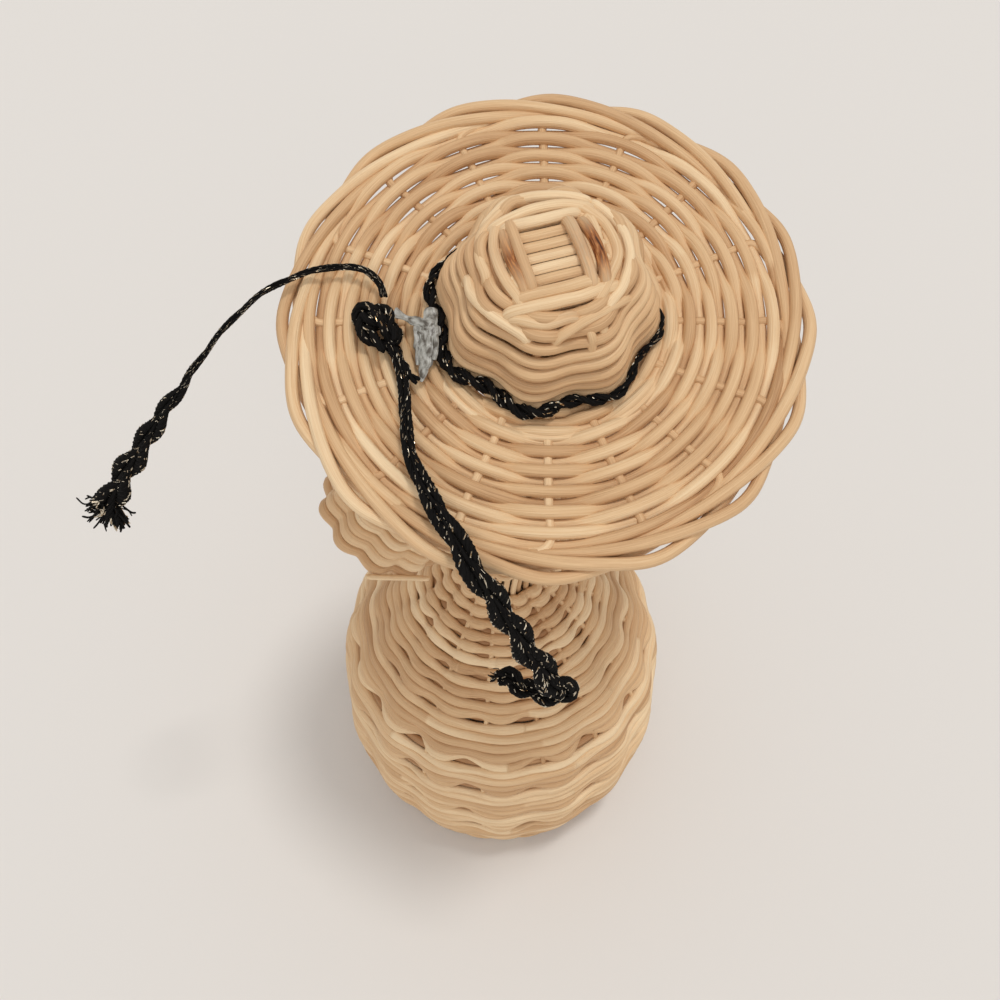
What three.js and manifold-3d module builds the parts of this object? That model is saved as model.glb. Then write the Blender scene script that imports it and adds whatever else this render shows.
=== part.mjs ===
// Wicker lady figure: a doll woven from round reed, with a wide hat, a cord hat band that has a bow
// loop and two loose tails, hanging bell sleeves and a hollow bell skirt.
// Millimetres, +Z up. The front is toward -Y, left and right are as seen from the front, and the
// figure stands on z = 0.
import * as THREE from 'three';
import { mergeVertices } from 'three/addons/utils/BufferGeometryUtils.js';
import Module from 'manifold-3d';

const wasm = await Module();
wasm.setup();

// Reed and the clearance that touching pieces keep.
const REED_D = 1.9;
const STAKE_D = 2.4;
const SPOKE_D = 1.8;
const EDGE_REED_D = 1.8;
const CLEAR = 0.3;

// Hat: 8 crossed spokes give 16 uprights on the crown, and 16 brim stakes go on from their feet.
const SPOKES_PER_WAY = 4;
const BRIM_R = 67.5;
const BRIM_ROW_GAP = 0.45;
const BRIM_INSET = 2.4;
const BORDER_W = 7.6;
const BORDER_T = 6.4;
const BORDER_SPAN = 4;
const CROWN_H = 27.2;
const CROWN_FOOT_R = 25;
const CROWN_FOOT_Z = 1.4;
const CROWN_SHOULDER_R = 18.5;
const CROWN_SHOULDER_DROP = 4.5;
const CROWN_BACK = 4.3;
const CROWN_ASIDE = 1.1;
const CROWN_ROW_GAP = 0.9;
const SPOKE_GAP = 1.2;
const WRAP_COUNT = 2;
const WRAP_ROW_GAP = 0.5;
const HAT_TILT = THREE.MathUtils.degToRad(15.3);

// Cord of the hat band, its bow loop and the lump of glue that holds the loop.
const BAND_D = 2.6;
const LOOP_D = 4;
const GLUE_R = 3.1;
const GLUE_T = 3;
const THIN_CORD_D = 1.5;
const MID_CORD_D = 3.2;
const TWIST_CORD_D = 5;

// Skirt: a bell on a flat hem border. Radii are of the outer face.
const HEM_H = 6;
const HEM_W = 6;
const HEM_R = 58.5;
const FULL_R = 64.6;
const FULL_Z = 46;
const UPPER_R = 59.6;
const UPPER_Z = 90;
const FLARE_R = 34.5;
const FLARE_Z = 130;
const WAIST_R = 16;
const SKIRT_TOP_Z = 148;
const SKIRT_WALL = 5;
const SKIRT_ROWS = 36;
const SKIRT_RELIEF = 0.9;
const SKIRT_GROOVE = 1.1;
const SKIRT_SLIT = 1.3;

// Upper body. It leans to the right, and the shoulders are turned a little.
const WAIST_STAKES = 12;
const WAIST_STAKE_D = 2.4;
const WAIST_OPEN = 9;
const BODICE_H = 71;
const BODICE_FOOT_R = 15;
const BUST_R = 21;
const SHOULDER_R = 15;
const BODICE_RELIEF = 1.2;
const NECK_R = 7;
const NECK_H = 18.75;
const HEAD_R = 21.1;
const HEAD_RELIEF = 1;
const LEAN = 0.0926;
const TURN = THREE.MathUtils.degToRad(15);

// Sleeves: bells that hang outward from the shoulders, open at the mouth.
const SLEEVE_L = 47.5;
const SLEEVE_TOP_R = 9;
const SLEEVE_MOUTH_R = 19.5;
const SLEEVE_WALL = 5.5;
const SLEEVE_DEPTH = 30;
const SLEEVE_OUT = 18.6;
const SLEEVE_DROP = 0.5;
const SLEEVE_SPREAD = THREE.MathUtils.degToRad(38);
const SLEEVE_RELIEF = 1.2;

const STRAW = { color: 0xd8b185, roughness: 0.7, metalness: 0 };
const CORD = { color: 0x16130f, roughness: 0.5, metalness: 0.2 };
const GLUE = { color: 0xc9d0d4, roughness: 0.25, metalness: 0 };

const STAKES = 4 * SPOKES_PER_WAY;
const SPACING = 2 * Math.PI / STAKES;
const UP = new THREE.Vector3(0, 0, 1);

// A reed's centre line: straight runs between worked-out points, where each section keeps its first
// corner toward the side given for that point.
class ReedLine extends THREE.Curve {
  constructor(points, sides) {
    super();
    this.points = points;
    this.sides = sides;
  }

  getPoint(t, target = new THREE.Vector3()) {
    const at = t * (this.points.length - 1);
    const i = Math.min(Math.floor(at), this.points.length - 2);
    return target.lerpVectors(this.points[i], this.points[i + 1], at - i);
  }

  getUtoTmapping(u) {
    return u;
  }

  computeFrenetFrames(steps) {
    const frames = { tangents: [], normals: [], binormals: [] };
    for (let i = 0; i <= steps; i++) {
      const before = this.points[Math.max(i - 1, 0)];
      const after = this.points[Math.min(i + 1, steps)];
      const tangent = after.clone().sub(before).normalize();
      const side = Array.isArray(this.sides) ? this.sides[i] : this.sides;
      const normal = side.clone().addScaledVector(tangent, -side.dot(tangent)).normalize();
      frames.tangents.push(tangent);
      frames.normals.push(normal);
      frames.binormals.push(tangent.clone().cross(normal));
    }
    return frames;
  }
}

function reed(points, sides, diameter, corners) {
  const section = new THREE.Shape();
  for (let k = 0; k < corners; k++) {
    const a = 2 * Math.PI * k / corners;
    const x = diameter / 2 * Math.cos(a);
    const y = diameter / 2 * Math.sin(a);
    if (k === 0) section.moveTo(x, y);
    else section.lineTo(x, y);
  }
  section.closePath();
  return new THREE.ExtrudeGeometry(section, {
    steps: points.length - 1,
    extrudePath: new ReedLine(points, sides),
    bevelEnabled: false,
  });
}

// A smooth tube for the cords, through a few chosen points.
function cord(points, diameter, steps) {
  const curve = new THREE.CatmullRomCurve3(points.map((p) => new THREE.Vector3(...p)));
  return reed(curve.getSpacedPoints(steps), UP, diameter, 8);
}

function polar(r, angle, z) {
  return new THREE.Vector3(r * Math.cos(angle), r * Math.sin(angle), z);
}

// How far a weaver swings from the line of the stakes, so that its straight runs clear them.
function swing(r, stakeD) {
  const half = r * SPACING / 2;
  const reach = (stakeD + REED_D) / 2 + CLEAR;
  return reach * half / Math.sqrt(half * half - reach * reach);
}

function leastGap(name, points, diameter, skip) {
  let least = Infinity;
  for (let i = 0; i < points.length; i++) {
    for (let j = i + skip; j < points.length; j++) {
      least = Math.min(least, points[i].distanceTo(points[j]));
    }
  }
  console.log(`${name}: least gap to itself ${(least - diameter).toFixed(2)} mm`);
}

// A closed woven form turned about Z. The outer face has an even number of rings, a crest on each odd
// one, and every point of a ring is moved outward by the offset. The inner points close the profile.
function wovenForm(outer, inner, rings, segments, offset) {
  const profile = [];
  for (let i = 0; i <= rings; i++) profile.push(outer.getPointAt(i / rings));
  const geometry = new THREE.LatheGeometry([...profile, ...inner], segments);
  const position = geometry.attributes.position;
  const count = profile.length + inner.length;
  for (let column = 0; column <= segments; column++) {
    const angle = 2 * Math.PI * column / segments;
    for (let i = 1; i < rings; i++) {
      const along = outer.getTangentAt(i / rings);
      const out = offset(i, angle);
      const r = profile[i].x + out * along.y;
      const y = profile[i].y - out * along.x;
      position.setXYZ(column * count + i, r * Math.sin(angle), y, r * Math.cos(angle));
    }
  }
  geometry.rotateX(Math.PI / 2);
  return geometry;
}

// Bands of reeds that swell over and under the stakes in turn.
function crossed(lobes, relief) {
  return (i, angle) => {
    const phase = (i - 1) / 2 % 2 ? -1 : 1;
    return i % 2 ? relief * (0.5 + 0.5 * phase * Math.cos(lobes * angle)) : 0;
  };
}

// The form's weld, for cuts and for a steady outward facing.
function solid(geometry) {
  const bare = geometry.clone();
  bare.deleteAttribute('normal');
  bare.deleteAttribute('uv');
  const welded = mergeVertices(bare, 1e-4);
  const index = welded.index.array;
  const triangles = [];
  for (let i = 0; i < index.length; i += 3) {
    const [a, b, c] = [index[i], index[i + 1], index[i + 2]];
    if (a !== b && b !== c && c !== a) triangles.push(a, b, c);
  }
  const mesh = new wasm.Mesh({
    numProp: 3,
    vertProperties: new Float32Array(welded.attributes.position.array),
    triVerts: new Uint32Array(triangles),
  });
  return new wasm.Manifold(mesh);
}

function geometryOf(manifold) {
  const mesh = manifold.getMesh();
  const geometry = new THREE.BufferGeometry();
  geometry.setAttribute('position', new THREE.BufferAttribute(mesh.vertProperties, 3));
  geometry.setIndex(new THREE.BufferAttribute(mesh.triVerts, 1));
  geometry.computeVertexNormals();
  return geometry;
}

function piece(parent, name, geometry, look) {
  const mesh = new THREE.Mesh(geometry, new THREE.MeshStandardMaterial(look));
  mesh.name = name;
  parent.add(mesh);
  return mesh;
}

function numbered(name, k) {
  return `${name}_${String(k + 1).padStart(2, '0')}`;
}

const figure = new THREE.Group();
const hat = new THREE.Group();
figure.add(hat);

// Crown. Its cone runs from the foot circle to the shoulder circle, and reeds swing along the
// cone's own outward side. From the foot up, everything on it is pushed back and a little aside.
const shoulderZ = CROWN_H - CROWN_SHOULDER_DROP;
const coneRun = new THREE.Vector2(CROWN_SHOULDER_R - CROWN_FOOT_R, shoulderZ - CROWN_FOOT_Z);
const coneLength = coneRun.length();
const coneOut = new THREE.Vector2(coneRun.y, -coneRun.x).normalize();

function pushed(point) {
  const share = Math.max(point.z - CROWN_FOOT_Z, 0) / (CROWN_H - CROWN_FOOT_Z);
  point.x += CROWN_ASIDE * share;
  point.y += CROWN_BACK * share;
  return point;
}

function onCone(along, swingOut, angle) {
  const t = along / coneLength;
  const r = CROWN_FOOT_R + coneRun.x * t + coneOut.x * swingOut;
  return pushed(polar(r, angle, CROWN_FOOT_Z + coneRun.y * t + coneOut.y * swingOut));
}

function coneRadius(along) {
  return CROWN_FOOT_R + coneRun.x * along / coneLength;
}

// The cross is turned by half a spacing, so that uprights stand on the hat's own X and Y lines.
const crossTurn = SPACING / 2;
const spokePitch = SPOKE_D + SPOKE_GAP;
const crossHalf = (SPOKES_PER_WAY - 1) / 2 * spokePitch;
const upperSpokeZ = CROWN_H - SPOKE_D / 2;
const lowerSpokeZ = upperSpokeZ - SPOKE_D - CLEAR;
const wrapReach = (SPOKE_D + REED_D) / 2 + CLEAR;
const wrapFirst = crossHalf + SPOKE_D / 2 + REED_D + CLEAR + CLEAR / 2;
const wrapPitch = REED_D + WRAP_ROW_GAP;
const flatR = wrapFirst + WRAP_COUNT * wrapPitch - REED_D / 2;
const fanStart = wrapFirst - CLEAR * 2;
const spokeFootR = CROWN_FOOT_R + SPOKE_D * 1.6;

// Where a spoke lies across its own direction, at a distance along it, while it fans out.
function fanPoint(offset, along) {
  const angle = offset / spokePitch * SPACING;
  const endX = CROWN_SHOULDER_R * Math.cos(angle);
  const endY = CROWN_SHOULDER_R * Math.sin(angle);
  const t = THREE.MathUtils.clamp((along - fanStart) / (endX - fanStart), 0, 1);
  return new THREE.Vector2(along, THREE.MathUtils.lerp(offset, endY, t));
}

function halfSpoke(offset, flip, way, topZ) {
  const points = [];
  const sides = [];
  const place = (x, y, z) => {
    points.push(pushed(new THREE.Vector3(flip * x, y, z).applyAxisAngle(UP, way)));
  };
  const angle = offset / spokePitch * SPACING;
  for (const along of [fanStart, flatR * Math.cos(angle)]) {
    const at = fanPoint(offset, along);
    place(at.x, at.y, topZ);
    sides.push(UP);
  }
  const shoulderX = CROWN_SHOULDER_R * Math.cos(angle);
  const shoulderY = CROWN_SHOULDER_R * Math.sin(angle);
  const facing = polar(coneOut.x, flip > 0 ? way + angle : way + Math.PI - angle, coneOut.y);
  const brow = fanPoint(offset, THREE.MathUtils.lerp(flatR * Math.cos(angle), shoulderX, 0.6));
  place(brow.x, brow.y, THREE.MathUtils.lerp(topZ, shoulderZ, 0.3));
  sides.push(UP.clone().add(facing).normalize());
  place(shoulderX, shoulderY, shoulderZ);
  sides.push(facing);
  const foot = [
    [CROWN_FOOT_R, CROWN_FOOT_Z, facing],
    [THREE.MathUtils.lerp(CROWN_FOOT_R, spokeFootR, 0.2), CROWN_FOOT_Z * 0.4, facing],
    [THREE.MathUtils.lerp(CROWN_FOOT_R, spokeFootR, 0.55), CROWN_FOOT_Z * 0.08, UP],
    [spokeFootR, 0, UP],
  ];
  for (const [r, z, side] of foot) {
    place(r * Math.cos(angle), r * Math.sin(angle), z);
    sides.push(side);
  }
  return { points, sides };
}

for (let k = 0; k < 2 * SPOKES_PER_WAY; k++) {
  const upper = k < SPOKES_PER_WAY;
  const offset = (k % SPOKES_PER_WAY) * spokePitch - crossHalf;
  const way = crossTurn + (upper ? 0 : Math.PI / 2);
  const topZ = upper ? upperSpokeZ : lowerSpokeZ;
  const left = halfSpoke(offset, -1, way, topZ);
  const right = halfSpoke(offset, 1, way, topZ);
  const points = [...left.points.reverse(), ...right.points];
  const sides = [...left.sides.reverse(), ...right.sides];
  piece(hat, numbered('crown_spoke', k), reed(points, sides, SPOKE_D, 4), STRAW);
}

// The first rounds of reed bind the cross: over one way and under the other, then changed about.
const wrapPoints = [];
for (let k = 0; k <= 8 * WRAP_COUNT; k++) {
  const round = Math.floor(k / 8);
  const edge = Math.floor((k % 8) / 2);
  const along = wrapFirst + wrapPitch * round;
  const across = fanPoint(crossHalf, along).y + REED_D / 2 + CLEAR;
  const overUpper = round % 2 === 1;
  const crossesUpper = edge % 2 === 0;
  const z = crossesUpper
    ? upperSpokeZ + (overUpper ? wrapReach : -wrapReach)
    : lowerSpokeZ + (overUpper ? -wrapReach : wrapReach);
  const point = new THREE.Vector3(along, k % 2 ? across : -across, z);
  wrapPoints.push(pushed(point.applyAxisAngle(UP, crossTurn + edge * Math.PI / 2)));
}
wrapPoints.pop();
piece(hat, 'crown_start_wrap', reed(wrapPoints, UP, REED_D, 4), STRAW);
leastGap('crown_start_wrap', wrapPoints, REED_D, 4);

// One reed climbs the crown. The uprights are even in number, so each row goes over the same ones
// as the row below and the crown gets its lobes.
const crownPitch = REED_D + CROWN_ROW_GAP;
const crownStart = REED_D / 2;
const crownSteps = 2 * Math.floor((coneLength - 2 * crownStart) / crownPitch * STAKES) - 1;
const crownPoints = [];
const crownSides = [];
for (let i = 1; i <= crownSteps; i++) {
  const angle = i * SPACING / 2;
  const along = crownStart + crownPitch * angle / (2 * Math.PI);
  const out = i % 2 ? 0 : (i / 2 % 2 ? -1 : 1) * swing(coneRadius(along), SPOKE_D);
  crownPoints.push(onCone(along, out, angle));
  crownSides.push(polar(coneOut.x, angle, coneOut.y));
}
piece(hat, 'crown_weaver', reed(crownPoints, crownSides, REED_D, 4), STRAW);
leastGap('crown_weaver', crownPoints, REED_D, STAKES);

// Brim. The stakes begin face to face with the feet of the uprights. At the edge each one turns
// aside and winds under and over the next ones, which makes the rolled, scalloped border.
const borderR = BRIM_R - BORDER_W / 2;
const borderHalfW = (BORDER_W - STAKE_D) / 2;
const borderHalfT = (BORDER_T - STAKE_D) / 2;
const borderSteps = 12;
const borderStartShare = 0.05;
const borderEndShare = 0.86;
const borderTightness = 0.3;
const stakeTurnR = borderR - borderHalfW - STAKE_D * 0.6;
for (let k = 0; k < STAKES; k++) {
  const angle = k * SPACING;
  const points = [polar(spokeFootR + CLEAR, angle, 0), polar(stakeTurnR, angle, 0)];
  for (let i = 0; i <= borderSteps; i++) {
    const u = THREE.MathUtils.lerp(borderStartShare, borderEndShare, i / borderSteps);
    const roll = Math.PI + 2 * Math.PI * u - borderTightness * Math.sin(2 * Math.PI * u);
    const r = borderR + borderHalfW * Math.cos(roll);
    points.push(polar(r, angle - u * BORDER_SPAN * SPACING, borderHalfT * Math.sin(roll)));
  }
  piece(hat, numbered('brim_stake', k), reed(points, UP, STAKE_D, 4), STRAW);
}

// Two weavers chase each other out to the border, each over the stakes that the other goes under.
const rowPitch = REED_D + BRIM_ROW_GAP;
const crownOuterR = CROWN_FOOT_R + swing(CROWN_FOOT_R, SPOKE_D) + REED_D / 2;
const firstRowR = crownOuterR + BRIM_INSET;
const lastRowR = borderR - borderHalfW - STAKE_D / 2 - BRIM_ROW_GAP - REED_D / 2;
const weaverTurns = (lastRowR - firstRowR - rowPitch) / (2 * rowPitch);
const weaverSteps = 2 * Math.floor(weaverTurns * STAKES) - 1;
for (const [name, first, phase] of [['brim_weaver_a', 0, 1], ['brim_weaver_b', 1, -1]]) {
  const points = [];
  for (let i = 1; i <= weaverSteps; i++) {
    const angle = i * SPACING / 2;
    const r = firstRowR + rowPitch * (first + angle / Math.PI);
    const z = i % 2 ? 0 : phase * (i / 2 % 2 ? -1 : 1) * swing(r, STAKE_D);
    points.push(polar(r, angle, z));
  }
  piece(hat, name, reed(points, UP, REED_D, 4), STRAW);
  leastGap(name, points, REED_D, STAKES);
}

// Cord round the foot of the crown, lying on the first brim rows.
const brimTopZ = swing(firstRowR, STAKE_D) + REED_D / 2;
const bandR = crownOuterR + CLEAR + BAND_D / 2;
const bandZ = brimTopZ + CLEAR + BAND_D / 2;
const band = new THREE.TorusGeometry(bandR, BAND_D / 2, 6, 2 * STAKES);
band.translate(0, 0, bandZ);
piece(hat, 'hat_band', band, CORD);

// The bow loop lies on the brim at the left, folded round on itself, and glue holds it to the band.
const loopZ = brimTopZ + CLEAR + LOOP_D / 2;
const loopPoints = [
  [-40.2, -5.6, loopZ], [-40.4, -1.6, loopZ + 0.6], [-42.4, 1.2, loopZ + 0.8],
  [-45.6, 0.6, loopZ + 0.4], [-47, -2.6, loopZ], [-46.6, -6.4, loopZ], [-45.2, -9, loopZ],
];
const loop = cord(loopPoints, LOOP_D, 14);
piece(hat, 'bow_loop', loop, CORD);
const glue = new THREE.SphereGeometry(1, 14, 8);
glue.scale(GLUE_R, GLUE_R * 1.2, GLUE_T / 2);
glue.translate(-(bandR + BAND_D / 2 + CLEAR + GLUE_R) * 1.005, -3.4, brimTopZ + CLEAR + GLUE_T / 2);
piece(hat, 'glue_lump', glue, GLUE);

// The two loose tails, in the hat's own frame. The left one arches off the brim and ends in a thick
// twisted stretch. The front one lies on the brim, then hangs before the skirt and curls back.
const leftThin = [
  [-40.4, 3.6, 6.6], [-41.5, 7.5, 6.2], [-45.4, 11.1, 5.8], [-50.6, 12.7, 5.6],
  [-56.8, 11.8, 5.6], [-63.7, 9.3, 6], [-69.9, 4.9, 7], [-76, -0.1, 6], [-82.8, -5.8, 2],
  [-89, -10.4, -4], [-93.8, -13.6, -10],
];
const leftTwist = [
  [-94.1, -13.8, -10.4], [-100, -16.9, -17], [-106.1, -20.6, -25], [-112.3, -24.4, -33],
  [-119.1, -28.7, -42], [-126.5, -34.9, -53],
];
const frontThin = [
  [-39.6, -8.2, 5.8], [-37.6, -11.6, 5.7], [-35.4, -16.7, 5.7], [-34.5, -22, 5.8],
  [-34.6, -27.4, 6],
];
const frontTwist = [
  [-34.6, -27.8, 6.7], [-33.4, -34.7, 6.8], [-30.3, -44.7, 6.8], [-25.5, -52.6, 6.8],
  [-21.4, -60, 7.2], [-19.3, -63.6, 7.6], [-17.4, -66.4, 7.4], [-15.4, -69.3, 5.5],
  [-13.4, -71.2, 1.5], [-8.6, -76.1, -10], [-3.5, -81.5, -22], [1.4, -85.9, -32],
  [4.6, -87.4, -36.4],
];
const frontTip = [
  [4.9, -87.6, -37], [5.2, -88.3, -39.6], [3.6, -88.6, -41.8], [1, -88.2, -42.8],
  [-1.3, -87.6, -43.2], [-4.3, -86.8, -43], [-6.7, -86.1, -42], [-9.4, -83.7, -40], [-12.3, -84, -40],
];
const cords = [
  piece(hat, 'tail_left_thin', cord(leftThin, THIN_CORD_D, 18), CORD),
  piece(hat, 'tail_left_twist', cord(leftTwist, TWIST_CORD_D, 8), CORD),
  piece(hat, 'tail_front_thin', cord(frontThin, MID_CORD_D, 6), CORD),
  piece(hat, 'tail_front_twist', cord(frontTwist, TWIST_CORD_D, 16), CORD),
  piece(hat, 'tail_front_tip', cord(frontTip, MID_CORD_D, 10), CORD),
];

// Hem: a border ring with a flat underside, and the skirt's wall standing on it.
const hem = new THREE.LatheGeometry([
  new THREE.Vector2(HEM_R - HEM_W, 0),
  new THREE.Vector2(HEM_R - HEM_H * 0.15, 0),
  new THREE.Vector2(HEM_R, HEM_H * 0.25),
  new THREE.Vector2(HEM_R, HEM_H * 0.75),
  new THREE.Vector2(HEM_R - HEM_H * 0.15, HEM_H),
  new THREE.Vector2(HEM_R - HEM_W, HEM_H),
  new THREE.Vector2(HEM_R - HEM_W, 0),
], 2 * STAKES);
hem.rotateX(Math.PI / 2);
piece(figure, 'hem_border', hem, STRAW);

const skirtFace = new THREE.SplineCurve([
  new THREE.Vector2(HEM_R, HEM_H + CLEAR),
  new THREE.Vector2((HEM_R + 3 * FULL_R) / 4, (HEM_H + FULL_Z) / 2),
  new THREE.Vector2(FULL_R, FULL_Z),
  new THREE.Vector2((FULL_R + UPPER_R) / 2 + 1, (FULL_Z + UPPER_Z) / 2),
  new THREE.Vector2(UPPER_R, UPPER_Z),
  new THREE.Vector2((UPPER_R + FLARE_R) / 2 + 2.4, (UPPER_Z + FLARE_Z) / 2),
  new THREE.Vector2(FLARE_R, FLARE_Z),
  new THREE.Vector2(WAIST_R, SKIRT_TOP_Z),
]);
const skirtInner = [new THREE.Vector2(WAIST_R - SKIRT_WALL, SKIRT_TOP_Z)];
for (let i = 9; i >= 1; i--) {
  const at = skirtFace.getPoint(i / 10);
  const along = skirtFace.getTangent(i / 10);
  skirtInner.push(new THREE.Vector2(at.x - SKIRT_WALL * along.y, at.y + SKIRT_WALL * along.x));
}
skirtInner.push(new THREE.Vector2(HEM_R - SKIRT_WALL, HEM_H + CLEAR));
skirtInner.push(new THREE.Vector2(HEM_R, HEM_H + CLEAR));
// Rows of reed swell out over each of the stakes. Between the stakes they draw in, and there
// dark slits open between some rows of the full part and between all rows of the flare.
const slitRows = [2, 7, 11, 16, 20, 25, 27];
const flareRow = 28;
function twined(i, angle) {
  const over = 0.5 + 0.5 * Math.cos(STAKES * angle);
  const swell = SKIRT_RELIEF * over;
  if (i % 2) return swell;
  const slit = i / 2 > flareRow || slitRows.includes(i / 2) ? SKIRT_SLIT : 0;
  return swell - SKIRT_GROOVE - slit * (1 - over);
}
const skirt = wovenForm(skirtFace, skirtInner, 2 * SKIRT_ROWS, 2 * STAKES, twined);
piece(figure, 'skirt_weave', skirt, STRAW);

// Everything above the waist leans over evenly from the skirt's top.
const lean = new THREE.Matrix4().makeShear(0, 0, 0, 0, LEAN, 0);
const leanFromWaist = new THREE.Matrix4().makeTranslation(0, 0, SKIRT_TOP_Z)
  .multiply(lean).multiply(new THREE.Matrix4().makeTranslation(0, 0, -SKIRT_TOP_Z));

function leanX(z) {
  return LEAN * (z - SKIRT_TOP_Z);
}

// Bare body stakes between the skirt and the bodice.
const bodiceZ = SKIRT_TOP_Z + WAIST_OPEN;
const waistStakeR = WAIST_R - SKIRT_WALL / 2;
for (let k = 0; k < WAIST_STAKES; k++) {
  const angle = 2 * Math.PI * k / WAIST_STAKES;
  const points = [
    polar(waistStakeR, angle, SKIRT_TOP_Z + CLEAR), polar(waistStakeR, angle, bodiceZ - CLEAR),
  ];
  const stake = reed(points, polar(1, angle, 0), WAIST_STAKE_D, 8).applyMatrix4(leanFromWaist);
  piece(figure, numbered('waist_stake', k), stake, STRAW);
}

// Bodice, filled by its stakes and weaving. The same face, moved out by the clearance, cuts the
// sleeves that hang against it.
function bodiceForm(relief, extra) {
  const top = bodiceZ + BODICE_H;
  const face = new THREE.SplineCurve([
    new THREE.Vector2(BODICE_FOOT_R + extra, bodiceZ - extra),
    new THREE.Vector2(BODICE_FOOT_R + 2 + extra, bodiceZ + BODICE_H * 0.2),
    new THREE.Vector2(BUST_R + extra, bodiceZ + BODICE_H * 0.58),
    new THREE.Vector2(BUST_R - 0.8 + extra, bodiceZ + BODICE_H * 0.76),
    new THREE.Vector2(SHOULDER_R + extra, bodiceZ + BODICE_H * 0.93),
    new THREE.Vector2(NECK_R + 2 + extra, top + extra),
  ]);
  const closing = [
    new THREE.Vector2(0, top + extra), new THREE.Vector2(0, bodiceZ - extra),
    new THREE.Vector2(BODICE_FOOT_R + extra, bodiceZ - extra),
  ];
  return wovenForm(face, closing, 14, 24, crossed(6, relief)).applyMatrix4(leanFromWaist);
}
piece(figure, 'bodice_weave', bodiceForm(BODICE_RELIEF, 0), STRAW);
const bodiceRoom = solid(bodiceForm(0, BODICE_RELIEF + CLEAR));

// Neck: a short stack of bound reed rounds.
const neckZ = bodiceZ + BODICE_H + CLEAR;
const neckTop = neckZ + NECK_H - CLEAR;
const neckFace = new THREE.LineCurve(
  new THREE.Vector2(NECK_R - 0.5, neckZ), new THREE.Vector2(NECK_R - 0.5, neckTop));
const neckClosing = [
  new THREE.Vector2(0, neckTop), new THREE.Vector2(0, neckZ),
  new THREE.Vector2(NECK_R - 0.5, neckZ),
];
const neck = wovenForm(neckFace, neckClosing, 10, 16, crossed(0, 1)).applyMatrix4(leanFromWaist);
piece(figure, 'neck_binding', neck, STRAW);

// Head: a plain woven ball.
const headZ = neckTop + CLEAR + HEAD_R;
const headFace = new THREE.EllipseCurve(
  0, 0, HEAD_R - HEAD_RELIEF, HEAD_R - HEAD_RELIEF, -Math.PI / 2 + 0.12, Math.PI / 2 - 0.12);
const headClosing = [
  new THREE.Vector2(0, HEAD_R - 0.8), new THREE.Vector2(0, -HEAD_R),
  headFace.getPoint(0),
];
const headForm = wovenForm(headFace, headClosing, 14, 24, crossed(6, HEAD_RELIEF));
const head = piece(figure, 'head', headForm, STRAW);
head.position.set(leanX(headZ), 0, headZ);

// The crown's innermost swings rest on the head's relief, a clearance away, which sets the hat's
// height.
let seat = Infinity;
for (const point of crownPoints) {
  const reach = HEAD_R - HEAD_RELIEF * 0.6 + CLEAR + REED_D / 2;
  const r = Math.hypot(point.x, point.y);
  if (r < reach) seat = Math.min(seat, point.z - Math.sqrt(reach * reach - r * r));
}
hat.rotation.x = HAT_TILT;
hat.position.set(0, 0, -seat).applyAxisAngle(new THREE.Vector3(1, 0, 0), HAT_TILT);
hat.position.add(head.position);

// Sleeves.
const sleeveZ = bodiceZ + BODICE_H - SLEEVE_DROP;
const sleeveFace = new THREE.SplineCurve([
  new THREE.Vector2(SLEEVE_MOUTH_R, -SLEEVE_L),
  new THREE.Vector2(SLEEVE_MOUTH_R * 0.9 + SLEEVE_TOP_R * 0.1, -SLEEVE_L * 0.72),
  new THREE.Vector2(SLEEVE_MOUTH_R * 0.5 + SLEEVE_TOP_R * 0.5, -SLEEVE_L * 0.32),
  new THREE.Vector2(SLEEVE_TOP_R, -SLEEVE_L * 0.1),
  new THREE.Vector2(SLEEVE_TOP_R * 0.6, 0),
]);
const hollowR = SLEEVE_MOUTH_R - SLEEVE_WALL;
const sleeveInner = [
  new THREE.Vector2(0, 0),
  new THREE.Vector2(0, SLEEVE_DEPTH - SLEEVE_L),
  new THREE.Vector2(hollowR * 0.55, SLEEVE_DEPTH * 0.9 - SLEEVE_L),
  new THREE.Vector2(hollowR * 0.9, SLEEVE_DEPTH * 0.4 - SLEEVE_L),
  new THREE.Vector2(hollowR, -SLEEVE_L),
  new THREE.Vector2(SLEEVE_MOUTH_R, -SLEEVE_L),
];
for (const [name, hand] of [['left', -1], ['right', 1]]) {
  const placing = new THREE.Matrix4().makeTranslation(leanX(sleeveZ), 0, sleeveZ)
    .multiply(new THREE.Matrix4().makeRotationZ(TURN))
    .multiply(new THREE.Matrix4().makeTranslation(hand * SLEEVE_OUT, 0, 0))
    .multiply(new THREE.Matrix4().makeRotationY(-hand * SLEEVE_SPREAD));
  const bell = wovenForm(sleeveFace, sleeveInner, 12, 24, crossed(6, SLEEVE_RELIEF)).applyMatrix4(placing);
  const cut = solid(bell).subtract(bodiceRoom);
  piece(figure, `sleeve_${name}`, geometryOf(cut), STRAW);
  const edgeY = -(SLEEVE_MOUTH_R + SLEEVE_RELIEF / 2 + CLEAR + EDGE_REED_D / 2);
  const edgeZ = EDGE_REED_D / 2 - SLEEVE_L;
  const edgeHalf = SLEEVE_MOUTH_R / 2;
  const edge = [new THREE.Vector3(-edgeHalf, edgeY, edgeZ), new THREE.Vector3(edgeHalf, edgeY, edgeZ)];
  const edgeReed = reed(edge, UP, EDGE_REED_D, 8).applyMatrix4(placing);
  piece(figure, `sleeve_edge_reed_${name}`, edgeReed, STRAW);
}

// The origin lies on the floor under the middle of the figure, its loose tails left out.
figure.updateMatrixWorld(true);
const box = new THREE.Box3();
figure.traverse((node) => {
  if (node.isMesh && !cords.includes(node)) box.expandByObject(node, true);
});
const middle = box.getCenter(new THREE.Vector3());
figure.position.set(-middle.x, -middle.y, 0);

export default figure;
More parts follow.
